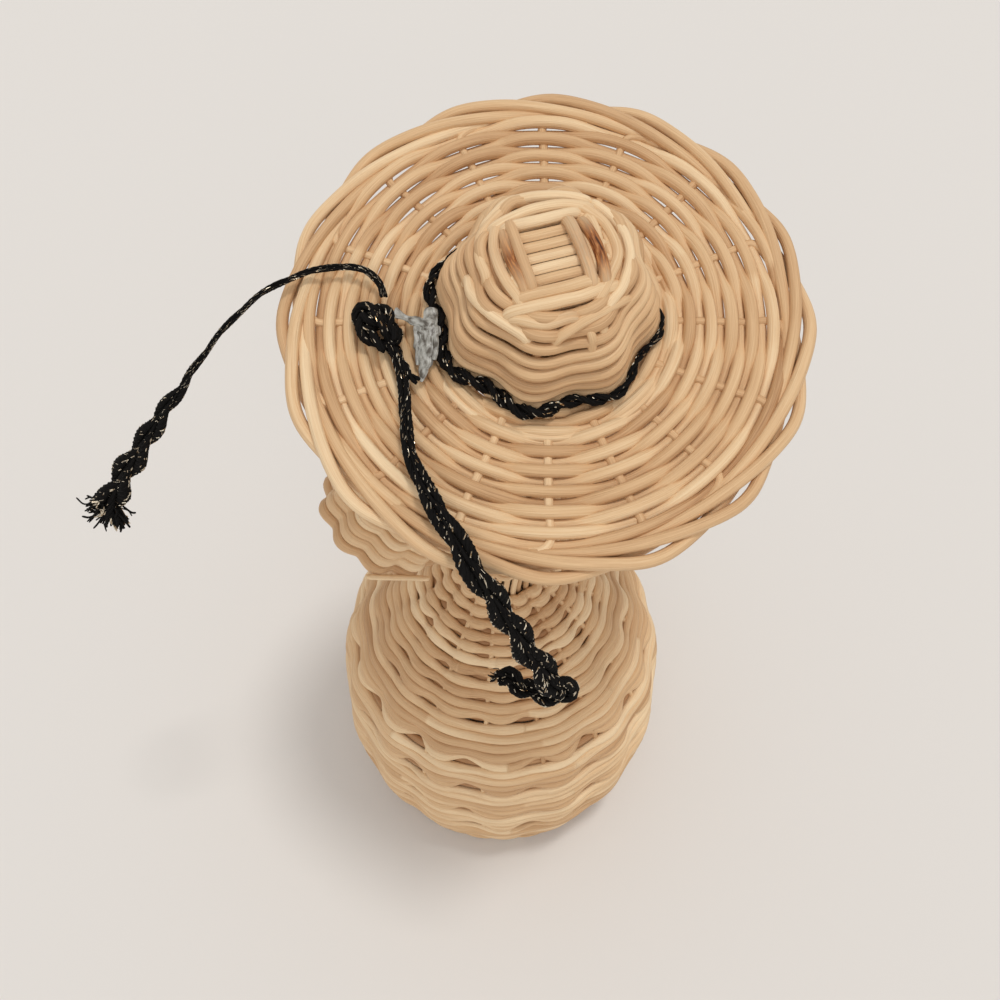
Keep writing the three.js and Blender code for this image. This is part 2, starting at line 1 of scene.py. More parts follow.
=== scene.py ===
"""Looks of the wicker lady figure: every reed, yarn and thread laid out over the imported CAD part."""
import math

import bpy
import numpy as np
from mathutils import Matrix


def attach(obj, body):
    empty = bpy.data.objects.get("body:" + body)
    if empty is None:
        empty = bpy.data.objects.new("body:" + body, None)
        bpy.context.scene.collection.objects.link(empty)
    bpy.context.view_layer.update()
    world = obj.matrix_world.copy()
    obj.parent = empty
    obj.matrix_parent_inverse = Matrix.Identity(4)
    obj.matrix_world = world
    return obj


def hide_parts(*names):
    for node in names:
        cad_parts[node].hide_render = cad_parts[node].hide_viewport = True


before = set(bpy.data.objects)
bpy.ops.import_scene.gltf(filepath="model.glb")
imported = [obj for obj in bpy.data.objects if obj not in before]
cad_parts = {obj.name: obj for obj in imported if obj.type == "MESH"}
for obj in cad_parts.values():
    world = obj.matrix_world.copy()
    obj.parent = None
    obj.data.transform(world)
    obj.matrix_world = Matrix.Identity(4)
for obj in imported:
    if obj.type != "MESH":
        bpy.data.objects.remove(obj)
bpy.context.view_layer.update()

# Everything below is worked out in millimetres and turned into metres when a mesh is made.
MM = 0.001
TAU = 2 * math.pi
UP = np.array([0.0, 0.0, 1.0])

# Where the CAD part holds its main groups: the figure's own axis, the hat and the leaning upper body.
AXIS_X, AXIS_Y = -6.523, 0.07
HAT_AT = np.array([4.603, -0.4435, 270.028])
HAT_TILT = math.radians(15.3)
SKIRT_TOP = 148.0
LEAN = 0.0926
TURN = math.radians(15)

STAKES = 16
SPACING = TAU / STAKES


# Placing of local points in the frame.

def turned(points, angle, axis):
    """Points turned about a main axis, 0 to 2."""
    i, j = [(1, 2), (2, 0), (0, 1)][axis]
    c, s = math.cos(angle), math.sin(angle)
    made = np.array(points, float)
    made[..., i] = c * points[..., i] - s * points[..., j]
    made[..., j] = s * points[..., i] + c * points[..., j]
    return made


def in_hat(points):
    """Points of the hat's own frame: its brim lies in z = 0 and its front is toward -Y."""
    return turned(points, HAT_TILT, 0) + HAT_AT


def in_body(points):
    """Points round the figure's own axis. What is above the skirt leans over evenly."""
    leant = points[..., 0] + LEAN * np.maximum(points[..., 2] - SKIRT_TOP, 0) + AXIS_X
    return np.stack([leant, points[..., 1] + AXIS_Y, points[..., 2]], -1)


# Lines.

CURVE_STEPS = 24
# A direction that no line here starts along.
ASKEW = (0.3, 0.2, 1)
# A single reed's length, shade, and how the shade drifts along it: the length of a drift and its size.
REED_LENGTH = (120, 420)
REED_TONE = (0.3, 0.78)
TONE_DRIFT = (40, 0.16)


def unit(v):
    return v / np.maximum(np.linalg.norm(v, axis=-1, keepdims=True), 1e-12)


def directions(line, closed=False):
    """The way that a line runs, at each point."""
    if closed:
        return unit(np.roll(line, -1, 0) - np.roll(line, 1, 0))
    return unit(np.gradient(line, axis=0))


def length_along(line):
    return np.concatenate([[0], np.cumsum(np.linalg.norm(np.diff(line, axis=0), axis=1))])


def respaced(line, step):
    """The same line with evenly spaced points."""
    at = length_along(line)
    steps = np.linspace(0, at[-1], max(int(round(at[-1] / step)), 2) + 1)
    return np.stack([np.interp(steps, at, line[:, k]) for k in range(line.shape[1])], -1)


def smooth(points, step):
    """An evenly spaced line on a rounded curve through the points."""
    p = np.asarray(points, float)
    p = np.concatenate([[2 * p[0] - p[1]], p, [2 * p[-1] - p[-2]]])
    t = np.linspace(0, 1, CURVE_STEPS, endpoint=False)[:, None]
    runs = []
    for a, b, c, d in zip(p[:-3], p[1:-2], p[2:-1], p[3:]):
        square = 2 * a - 5 * b + 4 * c - d
        cube = 3 * b - a - 3 * c + d
        runs.append(0.5 * (2 * b + (c - a) * t + square * t ** 2 + cube * t ** 3))
    runs.append(p[-2:-1])
    return respaced(np.concatenate(runs), step)


def polar(r, angle, z):
    return np.stack([r * np.cos(angle), r * np.sin(angle), z + 0 * angle], -1)


def carried(line):
    """A direction square to the line at each point, carried along it without twist."""
    along = directions(line)
    out = [unit(np.cross(along[0], ASKEW))]
    for t in along[1:]:
        out.append(unit(out[-1] - t * np.dot(out[-1], t)))
    return np.array(out)


def wander(at, spacing, size, rng):
    """Smooth random values along a line, one knot to each spacing."""
    values = rng.uniform(-size, size, int((at.max() - at.min()) / spacing) + 3)
    k = (at - at.min()) / spacing
    i = k.astype(int)
    f = k - i
    f = f * f * (3 - 2 * f)
    return values[i] * (1 - f) + values[i + 1] * f


def shaken(line, at, spacing, size, rng):
    """The line with each point moved a little, evenly from one knot to the next."""
    return line + np.stack([wander(at, spacing, size, rng) for _ in range(3)], -1)


def ripple(angle, size, rng, first=2, last=9):
    """Smooth random values of about the given size round a closed turn, of first to last - 1 waves."""
    evening = 1.6
    made = 0 * angle
    for k in range(first, last):
        made = made + rng.normal(0, 1) * np.cos(k * angle + rng.uniform(0, TAU)) / k ** 0.5
    return size * made / evening


def tones(at, rng, painted_light=0.0):
    """A reed's shade along it: a new reed is joined in every so often, and each shades slowly. A lift adds
    painted light: a paler tone that stands for more light falling on the reed.
    """
    joins = np.cumsum(rng.uniform(*REED_LENGTH, int(at[-1] / REED_LENGTH[0]) + 3))
    own = rng.uniform(*REED_TONE, len(joins) + 1)
    return own[np.searchsorted(joins, at)] + wander(at, *TONE_DRIFT, rng) + painted_light


# Strands of one piece.

END_TAPER = 0.72
SHARP_FROM = math.radians(62)
# Strands read their grain from different places in this length, so that no two look alike.
GRAIN_LENGTH = 9000
# For strands whose material reads no tone.
NO_TONE = 0.5


class Strands:
    """Swept strands that are made into one mesh. place turns local points into frame points."""

    def __init__(self, place):
        self.place = place
        self.points, self.faces, self.looks = [], [], []
        self.grain, self.tone, self.scorch = [], [], []
        self.count = 0

    def add(self, line, radius, out, rng, sides=8, flat=1.0, tone=None, look=0, closed=False, scorch=0.0):
        """One strand along the line, flattened toward out. look is the number of its material."""
        n = len(line)
        radius = np.broadcast_to(np.asarray(radius, float), n).copy()
        flat = np.broadcast_to(np.asarray(flat, float), n)
        if not closed:
            radius[[0, -1]] *= END_TAPER
        along = directions(line, closed)
        normal = unit(out - along * (out * along).sum(-1, keepdims=True))
        side = np.cross(along, normal)
        turn = TAU * np.arange(sides) / sides
        c, s = np.cos(turn)[None, :, None], np.sin(turn)[None, :, None]
        wide = radius[:, None, None]
        ring = line[:, None] + wide * (flat[:, None, None] * c * normal[:, None] + s * side[:, None])
        at = length_along(line)
        run = np.broadcast_to(at[:, None], (n, sides)) + rng.uniform(0, GRAIN_LENGTH)
        across = np.broadcast_to(radius[:, None], (n, sides))
        grain = np.stack([run, across * c[..., 0], across * s[..., 0]], -1)
        i = np.arange(n if closed else n - 1)[:, None]
        j = np.arange(sides)[None]
        next_i, next_j = (i + 1) % n, (j + 1) % sides
        quads = [i * sides + j, i * sides + next_j, next_i * sides + next_j, next_i * sides + j]
        faces = (np.stack(quads, -1).reshape(-1, 4) + self.count).tolist()
        if not closed:
            faces.append(list(range(self.count + sides - 1, self.count - 1, -1)))
            faces.append(list(range(self.count + (n - 1) * sides, self.count + n * sides)))
        if tone is None:
            tone = tones(at, rng)
        self.points.append(ring.reshape(-1, 3))
        self.grain.append(grain.reshape(-1, 3))
        self.tone.append(np.repeat(np.broadcast_to(tone, n), sides))
        self.scorch.append(np.repeat(np.broadcast_to(scorch, n), sides))
        self.faces += faces
        self.looks += [look] * len(faces)
        self.count += n * sides

    def build(self, name, materials, slot, *nodes):
        """The piece of all the strands, in place of the CAD part's nodes."""
        points = self.place(np.concatenate(self.points)) * MM
        mesh = bpy.data.meshes.new(name)
        mesh.from_pydata(points.tolist(), [], self.faces)
        mesh.polygons.foreach_set("material_index", self.looks)
        mesh.shade_smooth()
        mesh.set_sharp_from_angle(angle=SHARP_FROM)
        for key, kind, field, values in (
            ("grain", "FLOAT_VECTOR", "vector", np.concatenate(self.grain) * MM),
            ("tone", "FLOAT", "value", np.concatenate(self.tone)),
            ("scorch", "FLOAT", "value", np.concatenate(self.scorch)),
        ):
            layer = mesh.attributes.new(key, kind, "POINT")
            layer.data.foreach_set(field, values.astype(np.float32).ravel())
        for material in materials:
            mesh.materials.append(material)
        piece = bpy.data.objects.new(name, mesh)
        bpy.context.scene.collection.objects.link(piece)
        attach(piece, "root")
        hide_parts(*nodes)
        return piece


def upward(line):
    return np.broadcast_to(UP, line.shape)


def numbered(name, count):
    return [f"{name}_{k + 1:02d}" for k in range(count)]


# Materials.

# The mix node's sockets for colours.
MIX_INPUTS = (0, 6, 7)
MIX_RESULT = 2


def material(name, **values):
    """A new material whose shader has the values, named as its sockets are."""
    made = bpy.data.materials.new(name)
    made.use_nodes = True
    shader = made.node_tree.nodes["Principled BSDF"]
    for key, value in values.items():
        shader.inputs[key.replace("_", " ")].default_value = value
    return made, made.node_tree.nodes, made.node_tree.links, shader


def attribute(nodes, name, output="Fac"):
    """What the strands carry at each point."""
    made = nodes.new("ShaderNodeAttribute")
    made.attribute_name = name
    return made.outputs[output]


def noise(nodes, links, stretch, detail=3.0):
    """Noise over a strand's own straightened shape, so that it follows every bend."""
    scale = nodes.new("ShaderNodeVectorMath")
    scale.operation = "MULTIPLY"
    scale.inputs[1].default_value = stretch
    made = nodes.new("ShaderNodeTexNoise")
    made.inputs["Scale"].default_value = 1
    made.inputs["Detail"].default_value = detail
    made.inputs["Roughness"].default_value = 0.55
    links.new(attribute(nodes, "grain", "Vector"), scale.inputs[0])
    links.new(scale.outputs[0], made.inputs["Vector"])
    return made.outputs["Fac"]


def math_node(nodes, links, kind, *values, clamp=False):
    made = nodes.new("ShaderNodeMath")
    made.operation = kind
    made.use_clamp = clamp
    for socket, value in zip(made.inputs, values):
        if isinstance(value, (int, float)):
            socket.default_value = value
        else:
            links.new(value, socket)
    return made.outputs[0]


def linear(colour):
    """A colour written as 0 to 255 display values, as the shader's linear one."""
    shares = [v / 255 for v in colour]
    return [v / 12.92 if v <= 0.04045 else ((v + 0.055) / 1.055) ** 2.4 for v in shares]


def ramp(nodes, links, factor, stops):
    made = nodes.new("ShaderNodeValToRGB")
    elements = made.color_ramp.elements
    while len(elements) < len(stops):
        elements.new(0.5)
    for element, (at, colour) in zip(elements, stops):
        element.position = at
        element.color = (*linear(colour), 1)
    links.new(factor, made.inputs[0])
    return made.outputs["Color"]


def mixed(nodes, links, factor, a, b):
    made = nodes.new("ShaderNodeMix")
    made.data_type = "RGBA"
    for key, value in zip(MIX_INPUTS, (factor, a, b)):
        links.new(value, made.inputs[key])
    return made.outputs[MIX_RESULT]


def bump(nodes, links, height, shader, strength, distance):
    made = nodes.new("ShaderNodeBump")
    made.inputs["Strength"].default_value = strength
    made.inputs["Distance"].default_value = distance
    links.new(height, made.inputs["Height"])
    links.new(made.outputs["Normal"], shader.inputs["Normal"])


def reed_material():
    """Peeled reed: pale straw to pinkish tan, with fibres along it and brown bark where it is scorched."""
    made, nodes, links, shader = material("reed", Specular_IOR_Level=0.35)
    fibre = noise(nodes, links, (70, 3600, 3600), detail=4)
    stain = noise(nodes, links, (11, 180, 180))
    shade = math_node(nodes, links, "MULTIPLY_ADD", fibre, 0.9, -0.45)
    blot = math_node(nodes, links, "MULTIPLY_ADD", stain, 0.9, -0.45)
    shaded = math_node(nodes, links, "ADD", attribute(nodes, "tone"), shade)
    colour = ramp(nodes, links, math_node(nodes, links, "ADD", shaded, blot), (
        (0.0, (170, 125, 85)), (0.3, (203, 162, 119)), (0.62, (223, 186, 142)), (1.0, (242, 214, 174)),
    ))
    patch = noise(nodes, links, (260, 1700, 1700))
    bark = ramp(nodes, links, patch, ((0.3, (66, 32, 13)), (0.48, (146, 84, 40)), (0.66, (202, 142, 86))))
    patchy = math_node(nodes, links, "ADD", patch, 0.45)
    burnt = math_node(nodes, links, "MULTIPLY", attribute(nodes, "scorch"), patchy, clamp=True)
    links.new(mixed(nodes, links, burnt, colour, bark), shader.inputs["Base Color"])
    rough = math_node(nodes, links, "MULTIPLY_ADD", fibre, 0.3, 0.42)
    links.new(rough, shader.inputs["Roughness"])
    bump(nodes, links, fibre, shader, strength=0.6, distance=0.0004)
    return made


def yarn_material():
    """Black yarn, a little lighter on its high fibres."""
    made, nodes, links, shader = material("black_yarn", Roughness=0.75, Specular_IOR_Level=0.15)
    fuzz = noise(nodes, links, (900, 4200, 4200))
    colour = ramp(nodes, links, fuzz, ((0.35, (4, 3, 3)), (0.8, (20, 17, 15))))
    links.new(colour, shader.inputs["Base Color"])
    bump(nodes, links, fuzz, shader, strength=0.6, distance=0.0003)
    return made


def thread_material():
    """Pale gold thread, browner where it is rubbed."""
    made, nodes, links, shader = material("gold_thread", Metallic=1.0)
    rub = noise(nodes, links, (1500, 3000, 3000), detail=2)
    colour = ramp(nodes, links, rub, ((0.36, (142, 112, 74)), (0.56, (222, 212, 192))))
    links.new(colour, shader.inputs["Base Color"])
    rough = math_node(nodes, links, "MULTIPLY_ADD", rub, 0.35, 0.12)
    links.new(rough, shader.inputs["Roughness"])
    return made


def glue_material():
    """Cloudy hot glue, painted darker where the black cord shows through it, with pale painted highlights."""
    made, nodes, links, shader = material("glue", Roughness=0.3, Transmission_Weight=0.3, IOR=1.48)
    cloud_and_highlight = noise(nodes, links, (420, 900, 900))
    # Painted light: the palest stop is a painted highlight, and the darkest stands for the black cord seen
    # through the glue.
    colour = ramp(nodes, links, cloud_and_highlight, (
        (0.36, (92, 84, 74)), (0.5, (168, 166, 158)), (0.72, (214, 214, 208)),
    ))
    links.new(colour, shader.inputs["Base Color"])
    bump(nodes, links, cloud_and_highlight, shader, strength=0.5, distance=0.0005)
    return made


REED = reed_material()
YARN = yarn_material()
THREAD = thread_material()
GLUE = glue_material()


# Camera, at the photograph's viewing angle. Its place is in metres.

SENSOR_WIDTH = 36
LENS = 38.6
CAMERA_AT = (-0.00703, -0.18433, 0.4748)
CAMERA_PITCH = math.radians(32.5)


def add_camera():
    data = bpy.data.cameras.new("camera")
    data.sensor_width = SENSOR_WIDTH
    data.lens = LENS
    camera = bpy.data.objects.new("camera", data)
    camera.location = CAMERA_AT
    camera.rotation_euler = (CAMERA_PITCH, 0, 0)
    bpy.context.scene.collection.objects.link(camera)
    bpy.context.scene.camera = camera


# Cords.

CORD_STEP = 0.55
# The way a plaited cord faces, in the hat's own frame: up and to the front.
CORD_FACE = np.array([0.0, -0.31, 0.95])
# Shares of a cord's width: a laid ply's radius, and a plait's core, its plies' radius in the middle and
# what they gain at the edges, and how far they swing across and over each other.
LAID_PLY = 0.25
PLAIT_CORE = 0.16
PLAIT_PLY, PLAIT_GAIN = 0.15, 0.13
PLAIT_ACROSS, PLAIT_OVER = 0.4, 0.17
# Yarns: the length of a turn in the ply, the sides, the place and radius as shares of the ply's radius,
# and the ribs of the knitting: their height as a share, and their spacing.
YARN_TURN = 9
YARN_SIDES = 6
YARN_OFF, YARN_R = 0.54, 0.5
RIB, RIB_STEP = 0.16, 1.3
# Bits of gold thread: the radius as a share of the ply's, the most that this comes to, and its spread.
GLINT_SHARE, GLINT_R = 0.16, 0.19
GLINT_SPREAD = (0.5, 1.2)


def lay_cord(strands, line, size, lay, rng, closed=False, plies=2, yarns=5, glints=2.0):
    """A cord of two plies laid round each other, or of three plaited flat, each of several yarns.

    size is the cord's width and lay the length of one full turn of the plies, at each point.
    glints is the number of bits of gold thread to each millimetre and ply.
    """
    n = len(line)
    at = length_along(line)
    size = np.broadcast_to(np.asarray(size, float), n)
    lay = np.broadcast_to(np.asarray(lay, float), n)
    share = np.arange(n) / (n if closed else n - 1)
    if closed:
        turn = TAU * round(at[-1] / lay[0]) * share
    else:
        turn = TAU * np.cumsum(np.gradient(at) / lay)
    along = directions(line, closed)
    side = unit(np.cross(along, CORD_FACE))
    normal = np.cross(side, along)
    wind = TAU * round(at[-1] / YARN_TURN) * share
    if plies == 3:
        strands.add(line, PLAIT_CORE * size, normal, rng, YARN_SIDES, tone=NO_TONE)
    for k in range(plies):
        a = turn + TAU * k / plies
        if plies == 2:
            ply = LAID_PLY * size
            across, over = ply * np.sin(a), ply * np.cos(a)
        else:
            ply = size * (PLAIT_PLY + PLAIT_GAIN * np.sin(a) ** 2)
            across, over = PLAIT_ACROSS * size * np.sin(a), PLAIT_OVER * size * np.sin(2 * a)
        centre = line + across[:, None] * side + over[:, None] * normal
        for j in range(yarns):
            b = wind + TAU * j / yarns + k
            off = np.cos(b)[:, None] * normal + np.sin(b)[:, None] * side
            ribs = 1 + RIB * np.sin(TAU * at / RIB_STEP + j * 2.1)
            yarn = centre + YARN_OFF * ply[:, None] * off
            strands.add(yarn, YARN_R * ply * ribs, off, rng, YARN_SIDES, tone=NO_TONE, closed=closed)
        for first in rng.integers(0, n - 6, int(at[-1] * glints)):
            run = slice(first, first + int(rng.integers(2, 4)))
            b = wind[run] * rng.uniform(-0.5, 1.6) + rng.uniform(0, TAU)
            off = np.cos(b)[:, None] * normal[run] + np.sin(b)[:, None] * side[run]
            thick = min(GLINT_SHARE * ply[first], GLINT_R) * rng.uniform(*GLINT_SPREAD)
            strands.add(centre[run] + 1.02 * ply[run, None] * off, thick, off, rng, 4, tone=NO_TONE, look=1)


# The tails of the hat band, in the hat's own frame. Widths and lays are pairs of share along the tail and
# value. Tufts have the way each turns off to the side and its length.
LEFT_TAIL = [
    (-40.4, 3.6, 6.6), (-41.5, 7.5, 6.2), (-45.4, 11.1, 5.8), (-50.6, 12.7, 5.6), (-56.8, 11.8, 5.6),
    (-63.7, 9.3, 6), (-69.9, 4.9, 7), (-76, -0.1, 6), (-82.8, -5.8, 2), (-89, -10.4, -4),
    (-93.8, -13.6, -10), (-100, -16.9, -17), (-106.1, -20.6, -25), (-112.3, -24.4, -33),
    (-119.1, -28.7, -42), (-125.4, -34, -51.4),
]
LEFT_WIDTHS = (
    (0, 1.7), (0.3, 1.35), (0.48, 1.45), (0.56, 2.4), (0.66, 4.2), (0.8, 5.6), (0.93, 6.9), (1, 6.9),
)
LEFT_LAYS = ((0, 40), (0.5, 44), (1, 46))
LEFT_TUFTS = ((-1.0, 6.0), (0.1, 6.5), (1.0, 5.5))
FRONT_TAIL = [
    (-39.6, -8.2, 5.8), (-37.6, -11.6, 5.7), (-35.4, -16.7, 5.7), (-34.5, -22, 5.8), (-34.6, -27.6, 6.3),
    (-33.4, -34.7, 6.8), (-30.3, -44.7, 6.8), (-25.5, -52.6, 6.8), (-21.4, -60, 7.2), (-19.3, -63.6, 7.6),
    (-17.4, -66.4, 7.4), (-15.4, -69.3, 5.5), (-13.4, -71.2, 1.5), (-8.6, -76.1, -10), (-3.5, -81.5, -22),
    (1.4, -85.9, -32), (4.6, -87.4, -36.4), (5.2, -88.3, -39.6), (3.6, -88.6, -41.8), (1, -88.2, -42.8),
    (-1.3, -87.6, -43.2), (-4.3, -86.8, -43), (-6.7, -86.1, -42), (-9.4, -83.7, -40), (-12.3, -84, -40),
]
FRONT_WIDTHS = (
    (0, 2.6), (0.2, 2.8), (0.3, 4.1), (0.45, 5.1), (0.6, 5.6), (0.8, 6.5), (0.86, 5.8), (0.92, 4.5),
    (1, 4.0),
)
FRONT_LAYS = ((0, 56), (0.3, 50), (0.8, 48), (0.86, 24), (1, 18))
FRONT_TUFTS = ((0.0, 2.6),)
TAIL_PATH_STEP = 2.0
# A tuft's fibres: their number, the share of gold ones, how far they spread, how deep in the cord they may
# start, and their radius as shares of the cord's width. Foot, bend and droop are shares too, the first of
# the cord's width and the others of a fibre's length.
TUFT_FIBRES = 60
TUFT_GOLD = 0.22
TUFT_SPREAD = 0.34
TUFT_DEPTH = 2.5
TUFT_FIBRE_R = (0.03, 0.055)
TUFT_FOOT = 0.12
TUFT_BEND = 0.12
TUFT_DROOP = 0.1
# How far a tuft's foot lies off the cord's middle, as a share of the cord's width.
TUFT_ASIDE = 0.26


def fray_tuft(fray, ahead, middle, foot, width, reach, rng):
    """Fibres that spread from the foot at a cord's end, on the whole along middle."""
    for _ in range(TUFT_FIBRES):
        way = unit(middle + rng.normal(0, TUFT_SPREAD, 3))
        start = foot + rng.normal(0, TUFT_FOOT, 3) * width - ahead * rng.uniform(0, TUFT_DEPTH)
        far = reach * rng.uniform(0.5, 1.0)
        bend = rng.normal(0, TUFT_BEND, 3) * far
        tip = start + way * far - TUFT_DROOP * far * UP
        fibre = smooth([start, start + way * far * 0.5 + bend, tip], 0.5)
        thick = rng.uniform(*TUFT_FIBRE_R) * width
        gold = int(rng.random() < TUFT_GOLD)
        fray.add(fibre, thick, carried(fibre), rng, 5, tone=NO_TONE, look=gold)


def add_tail(name, points, widths, lays, tufts, nodes, seed):
    """A loose tail of the hat band, ending in frayed tufts."""
    rng = np.random.default_rng(seed)
    line = smooth(points, CORD_STEP)
    at = length_along(line)
    share = at / at[-1]
    size = np.interp(share, *zip(*widths))
    lay = np.interp(share, *zip(*lays))
    strands = Strands(in_hat)
    lay_cord(strands, line, size, lay, rng, plies=3)
    piece = strands.build(name, [YARN, THREAD], "cord", *nodes)

    fray = Strands(in_hat)
    end = line[-1]
    ahead = unit(end - line[-6])
    side = unit(np.cross(ahead, CORD_FACE))
    for aside, reach in tufts:
        middle = unit(ahead + aside * side)
        foot = end + TUFT_ASIDE * size[-1] * aside * side
        fray_tuft(fray, ahead, middle, foot, size[-1], reach, rng)
    tuft = fray.build(name + "_fray", [YARN, THREAD], "cord")

    path = in_hat(respaced(line, TAIL_PATH_STEP)) * MM


BAND_R = 28.3
BAND_Z = 4.4
BAND_LOBE = 1.4
BAND_LAY = 12
# What the band is drawn in where the crown hides it, and the middle of that stretch.
BAND_DRAWN = 2.7
BAND_HIDDEN_AT = math.radians(68)
# The band's width, what it gains at the front left, and where that is.
BAND_WIDTH, BAND_GAIN = 2.1, 1.9
BAND_THICK_AT = math.radians(225)


def add_band():
    """The cord round the crown's foot, pressed into its lobes and drawn in at the right and the back."""
    rng = np.random.default_rng(21)
    angle = np.linspace(0, TAU, 420, endpoint=False)
    tight = np.clip((np.cos(angle - BAND_HIDDEN_AT) - 0.1) / 0.35, 0, 1)
    r = BAND_R - BAND_DRAWN * tight + BAND_LOBE * np.cos(LOBES * angle + LOBE_TURN)
    thick = np.clip(0.2 + 0.9 * np.cos(angle - BAND_THICK_AT), 0, 1)
    strands = Strands(in_crown)
    lay_cord(
        strands, polar(r, angle, BAND_Z), BAND_WIDTH + BAND_GAIN * thick, BAND_LAY, rng,
        closed=True, yarns=4, glints=1.5,
    )
    strands.build("band_cord", [YARN, THREAD], "cord", "hat_band")


# The knot's cord at rest on the brim.
BOW_Z = 5.9


def add_bow():
    """The folded loop of the band's knot, pressed into a lump, with one pass in it and one lying over it."""
    rng = np.random.default_rng(22)
    z = BOW_Z
    core = [(-45.0, -4.2, z - 0.2), (-42.8, -3.4, z + 0.5), (-40.6, -3.0, z + 0.6), (-38.8, -4.6, z + 0.2)]
    loop = [
        (-37.4, -9.4, z), (-38.0, -5.2, z + 0.4), (-39.4, -1.8, z + 0.7), (-42.6, 0.2, z + 0.8),
        (-45.6, -0.2, z + 0.6), (-46.4, -3.2, z + 0.2), (-44.4, -6.2, z), (-41.6, -8.4, z), (-39.4, -9.6, z),
    ]
    fold = [
        (-45.0, -1.6, z + 1.4), (-43.2, -2.8, z + 2.2), (-41.0, -4.2, z + 2.4), (-39.0, -6.2, z + 1.9),
        (-37.6, -8.6, z + 1.0),
    ]
    leg = [(-37.2, -9.2, z - 0.4), (-35.6, -13.4, z - 0.4), (-33.4, -17.0, z - 0.5), (-31.6, -18.6, z - 0.7)]
    strands = Strands(in_hat)
    for points, width, lay in ((core, 4.4, 13), (loop, 4.6, 13), (fold, 4.0, 12), (leg, 2.2, 9)):
        lay_cord(strands, smooth(points, CORD_STEP), width, lay, rng)
    strands.build("bow_cord", [YARN, THREAD], "cord", "bow_loop")


# Smears of glue from the bow to the band and down along the band: points, half widths from end to end, and
# thickness as a share of the width.
GLUE_SMEARS = (
    ([(-28.6, 0.6, 6.6), (-28.9, -2.4, 6.6), (-29.2, -6.9, 6.3), (-29.7, -12.3, 5.5), (-30.9, -18.5, 4.6)],
     (1.4, 2.7, 2.5, 1.9, 0.4), 0.22),
    ([(-38.0, -0.8, 6.9), (-34.6, -2.0, 6.1), (-31.4, -3.4, 6.4), (-28.4, -4.6, 6.6)],
     (1.5, 0.9, 1.5, 2.0), 0.3),
    ([(-32.4, -4.2, 6.2), (-31.8, -9.4, 5.6), (-31.9, -14.2, 4.9)], (0.8, 0.9, 0.4), 0.35),
    ([(-27.2, -5.0, 6.7), (-27.4, -9.0, 6.4), (-27.6, -13.0, 5.8)], (0.5, 0.7, 0.5), 0.5),
)
# How the film's width and its line drift: the length of a drift and its size.
GLUE_WIDTH_DRIFT = (1.3, 0.22)
GLUE_LINE_DRIFT = (1.6, 0.16)


def add_glue():
    """The film of hot glue, as flat smears that run into each other."""
    rng = np.random.default_rng(23)
    film = Strands(in_hat)
    for points, widths, thick in GLUE_SMEARS:
        line = smooth(points, 0.45)
        at = length_along(line)
        width = np.interp(at / at[-1], np.linspace(0, 1, len(widths)), widths)
        width = width * (1 + wander(at, *GLUE_WIDTH_DRIFT, rng))
        line = shaken(line, at, *GLUE_LINE_DRIFT, rng)
        film.add(line, width, upward(line), rng, 14, flat=thick, tone=NO_TONE)
    film.build("glue_film", [GLUE], "glue", "glue_lump")


# Weaving on a turned face.

WEAVE_STEP = 1.7
POINTS_PER_LOBE = 14
# How a weaver's place, swing and radius drift along it: the length of a drift and its size.
ROW_DRIFT = (23, 0.14)
SWING_DRIFT = (31, 0.1)
RADIUS_DRIFT = (60, 0.06)


class Face:
    """A turned face: points (radius, height) from its foot to its top, read by the length along it."""

    def __init__(self, points, inset):
        line = smooth(points, 0.5)
        along = directions(line)
        self.at = length_along(line)
        self.out = np.stack([along[:, 1], -along[:, 0]], -1)
        self.line = line - inset * self.out
        self.length = self.at[-1]

    def read(self, at):
        r, z = (np.interp(at, self.at, self.line[:, k]) for k in (0, 1))
        out_r, out_z = (np.interp(at, self.at, self.out[:, k]) for k in (0, 1))
        return r, z, out_r, out_z

    def radius(self, at):
        return np.interp(at, self.at, self.line[:, 0])

    def place(self, at, angle, off):
        r, z, out_r, out_z = self.read(at)
        return polar(r + out_r * off, angle, z + out_z * off)

    def facing(self, at, angle):
        _, _, out_r, out_z = self.read(at)
        return polar(out_r, angle, out_z)


def drift(at, drifting, loose, rng):
    spacing, size = drifting
    return wander(at, spacing, size * loose, rng)


def weave(
    strands, face, start, stop, pitch, lobes, swing, radius, rng,
    phase=0.0, crisp=0.1, keep=None, loose=1.0, painted_light=0.0,
):
    """One weaver climbing the face from start to stop, in and out of the stakes lobes times a turn.

    swing is a pair, at the face's foot and at its top. A greater crisp makes the crossings steeper.
    keep drops the stretches for which it is false, given the local points. loose is how unevenly the
    weaver lies. Its lift is painted light: it makes the weaver paler, as if more light fell on it.
    """
    turns = (stop - start) / pitch
    middle = face.radius((start + stop) / 2)
    per_turn = max(TAU * middle / WEAVE_STEP, POINTS_PER_LOBE * lobes)
    angle = np.linspace(0, TAU * turns, int(per_turn * turns) + 2)
    run = angle * middle
    at = start + pitch * angle / TAU + drift(run, ROW_DRIFT, loose, rng)
    reach = np.interp(at, (0, face.length), swing) * (1 + drift(run, SWING_DRIFT, loose, rng))
    wave = np.tanh(crisp * np.cos(lobes * angle + phase)) / math.tanh(crisp)
    line = face.place(at, angle, reach * wave)
    out = face.facing(at, angle)
    shade = tones(length_along(line), rng, painted_light)
    size = radius * (1 + drift(run, RADIUS_DRIFT, loose, rng))
    if keep is None:
        strands.add(line, size, out, rng, tone=shade)
        return
    inside = keep(line)
    edges = np.flatnonzero(np.diff(np.concatenate([[0], inside.astype(int), [0]])))
    for a, b in zip(edges[::2], edges[1::2]):
        if b - a > 3:
            strands.add(line[a:b], size[a:b], out[a:b], rng, tone=shade[a:b])


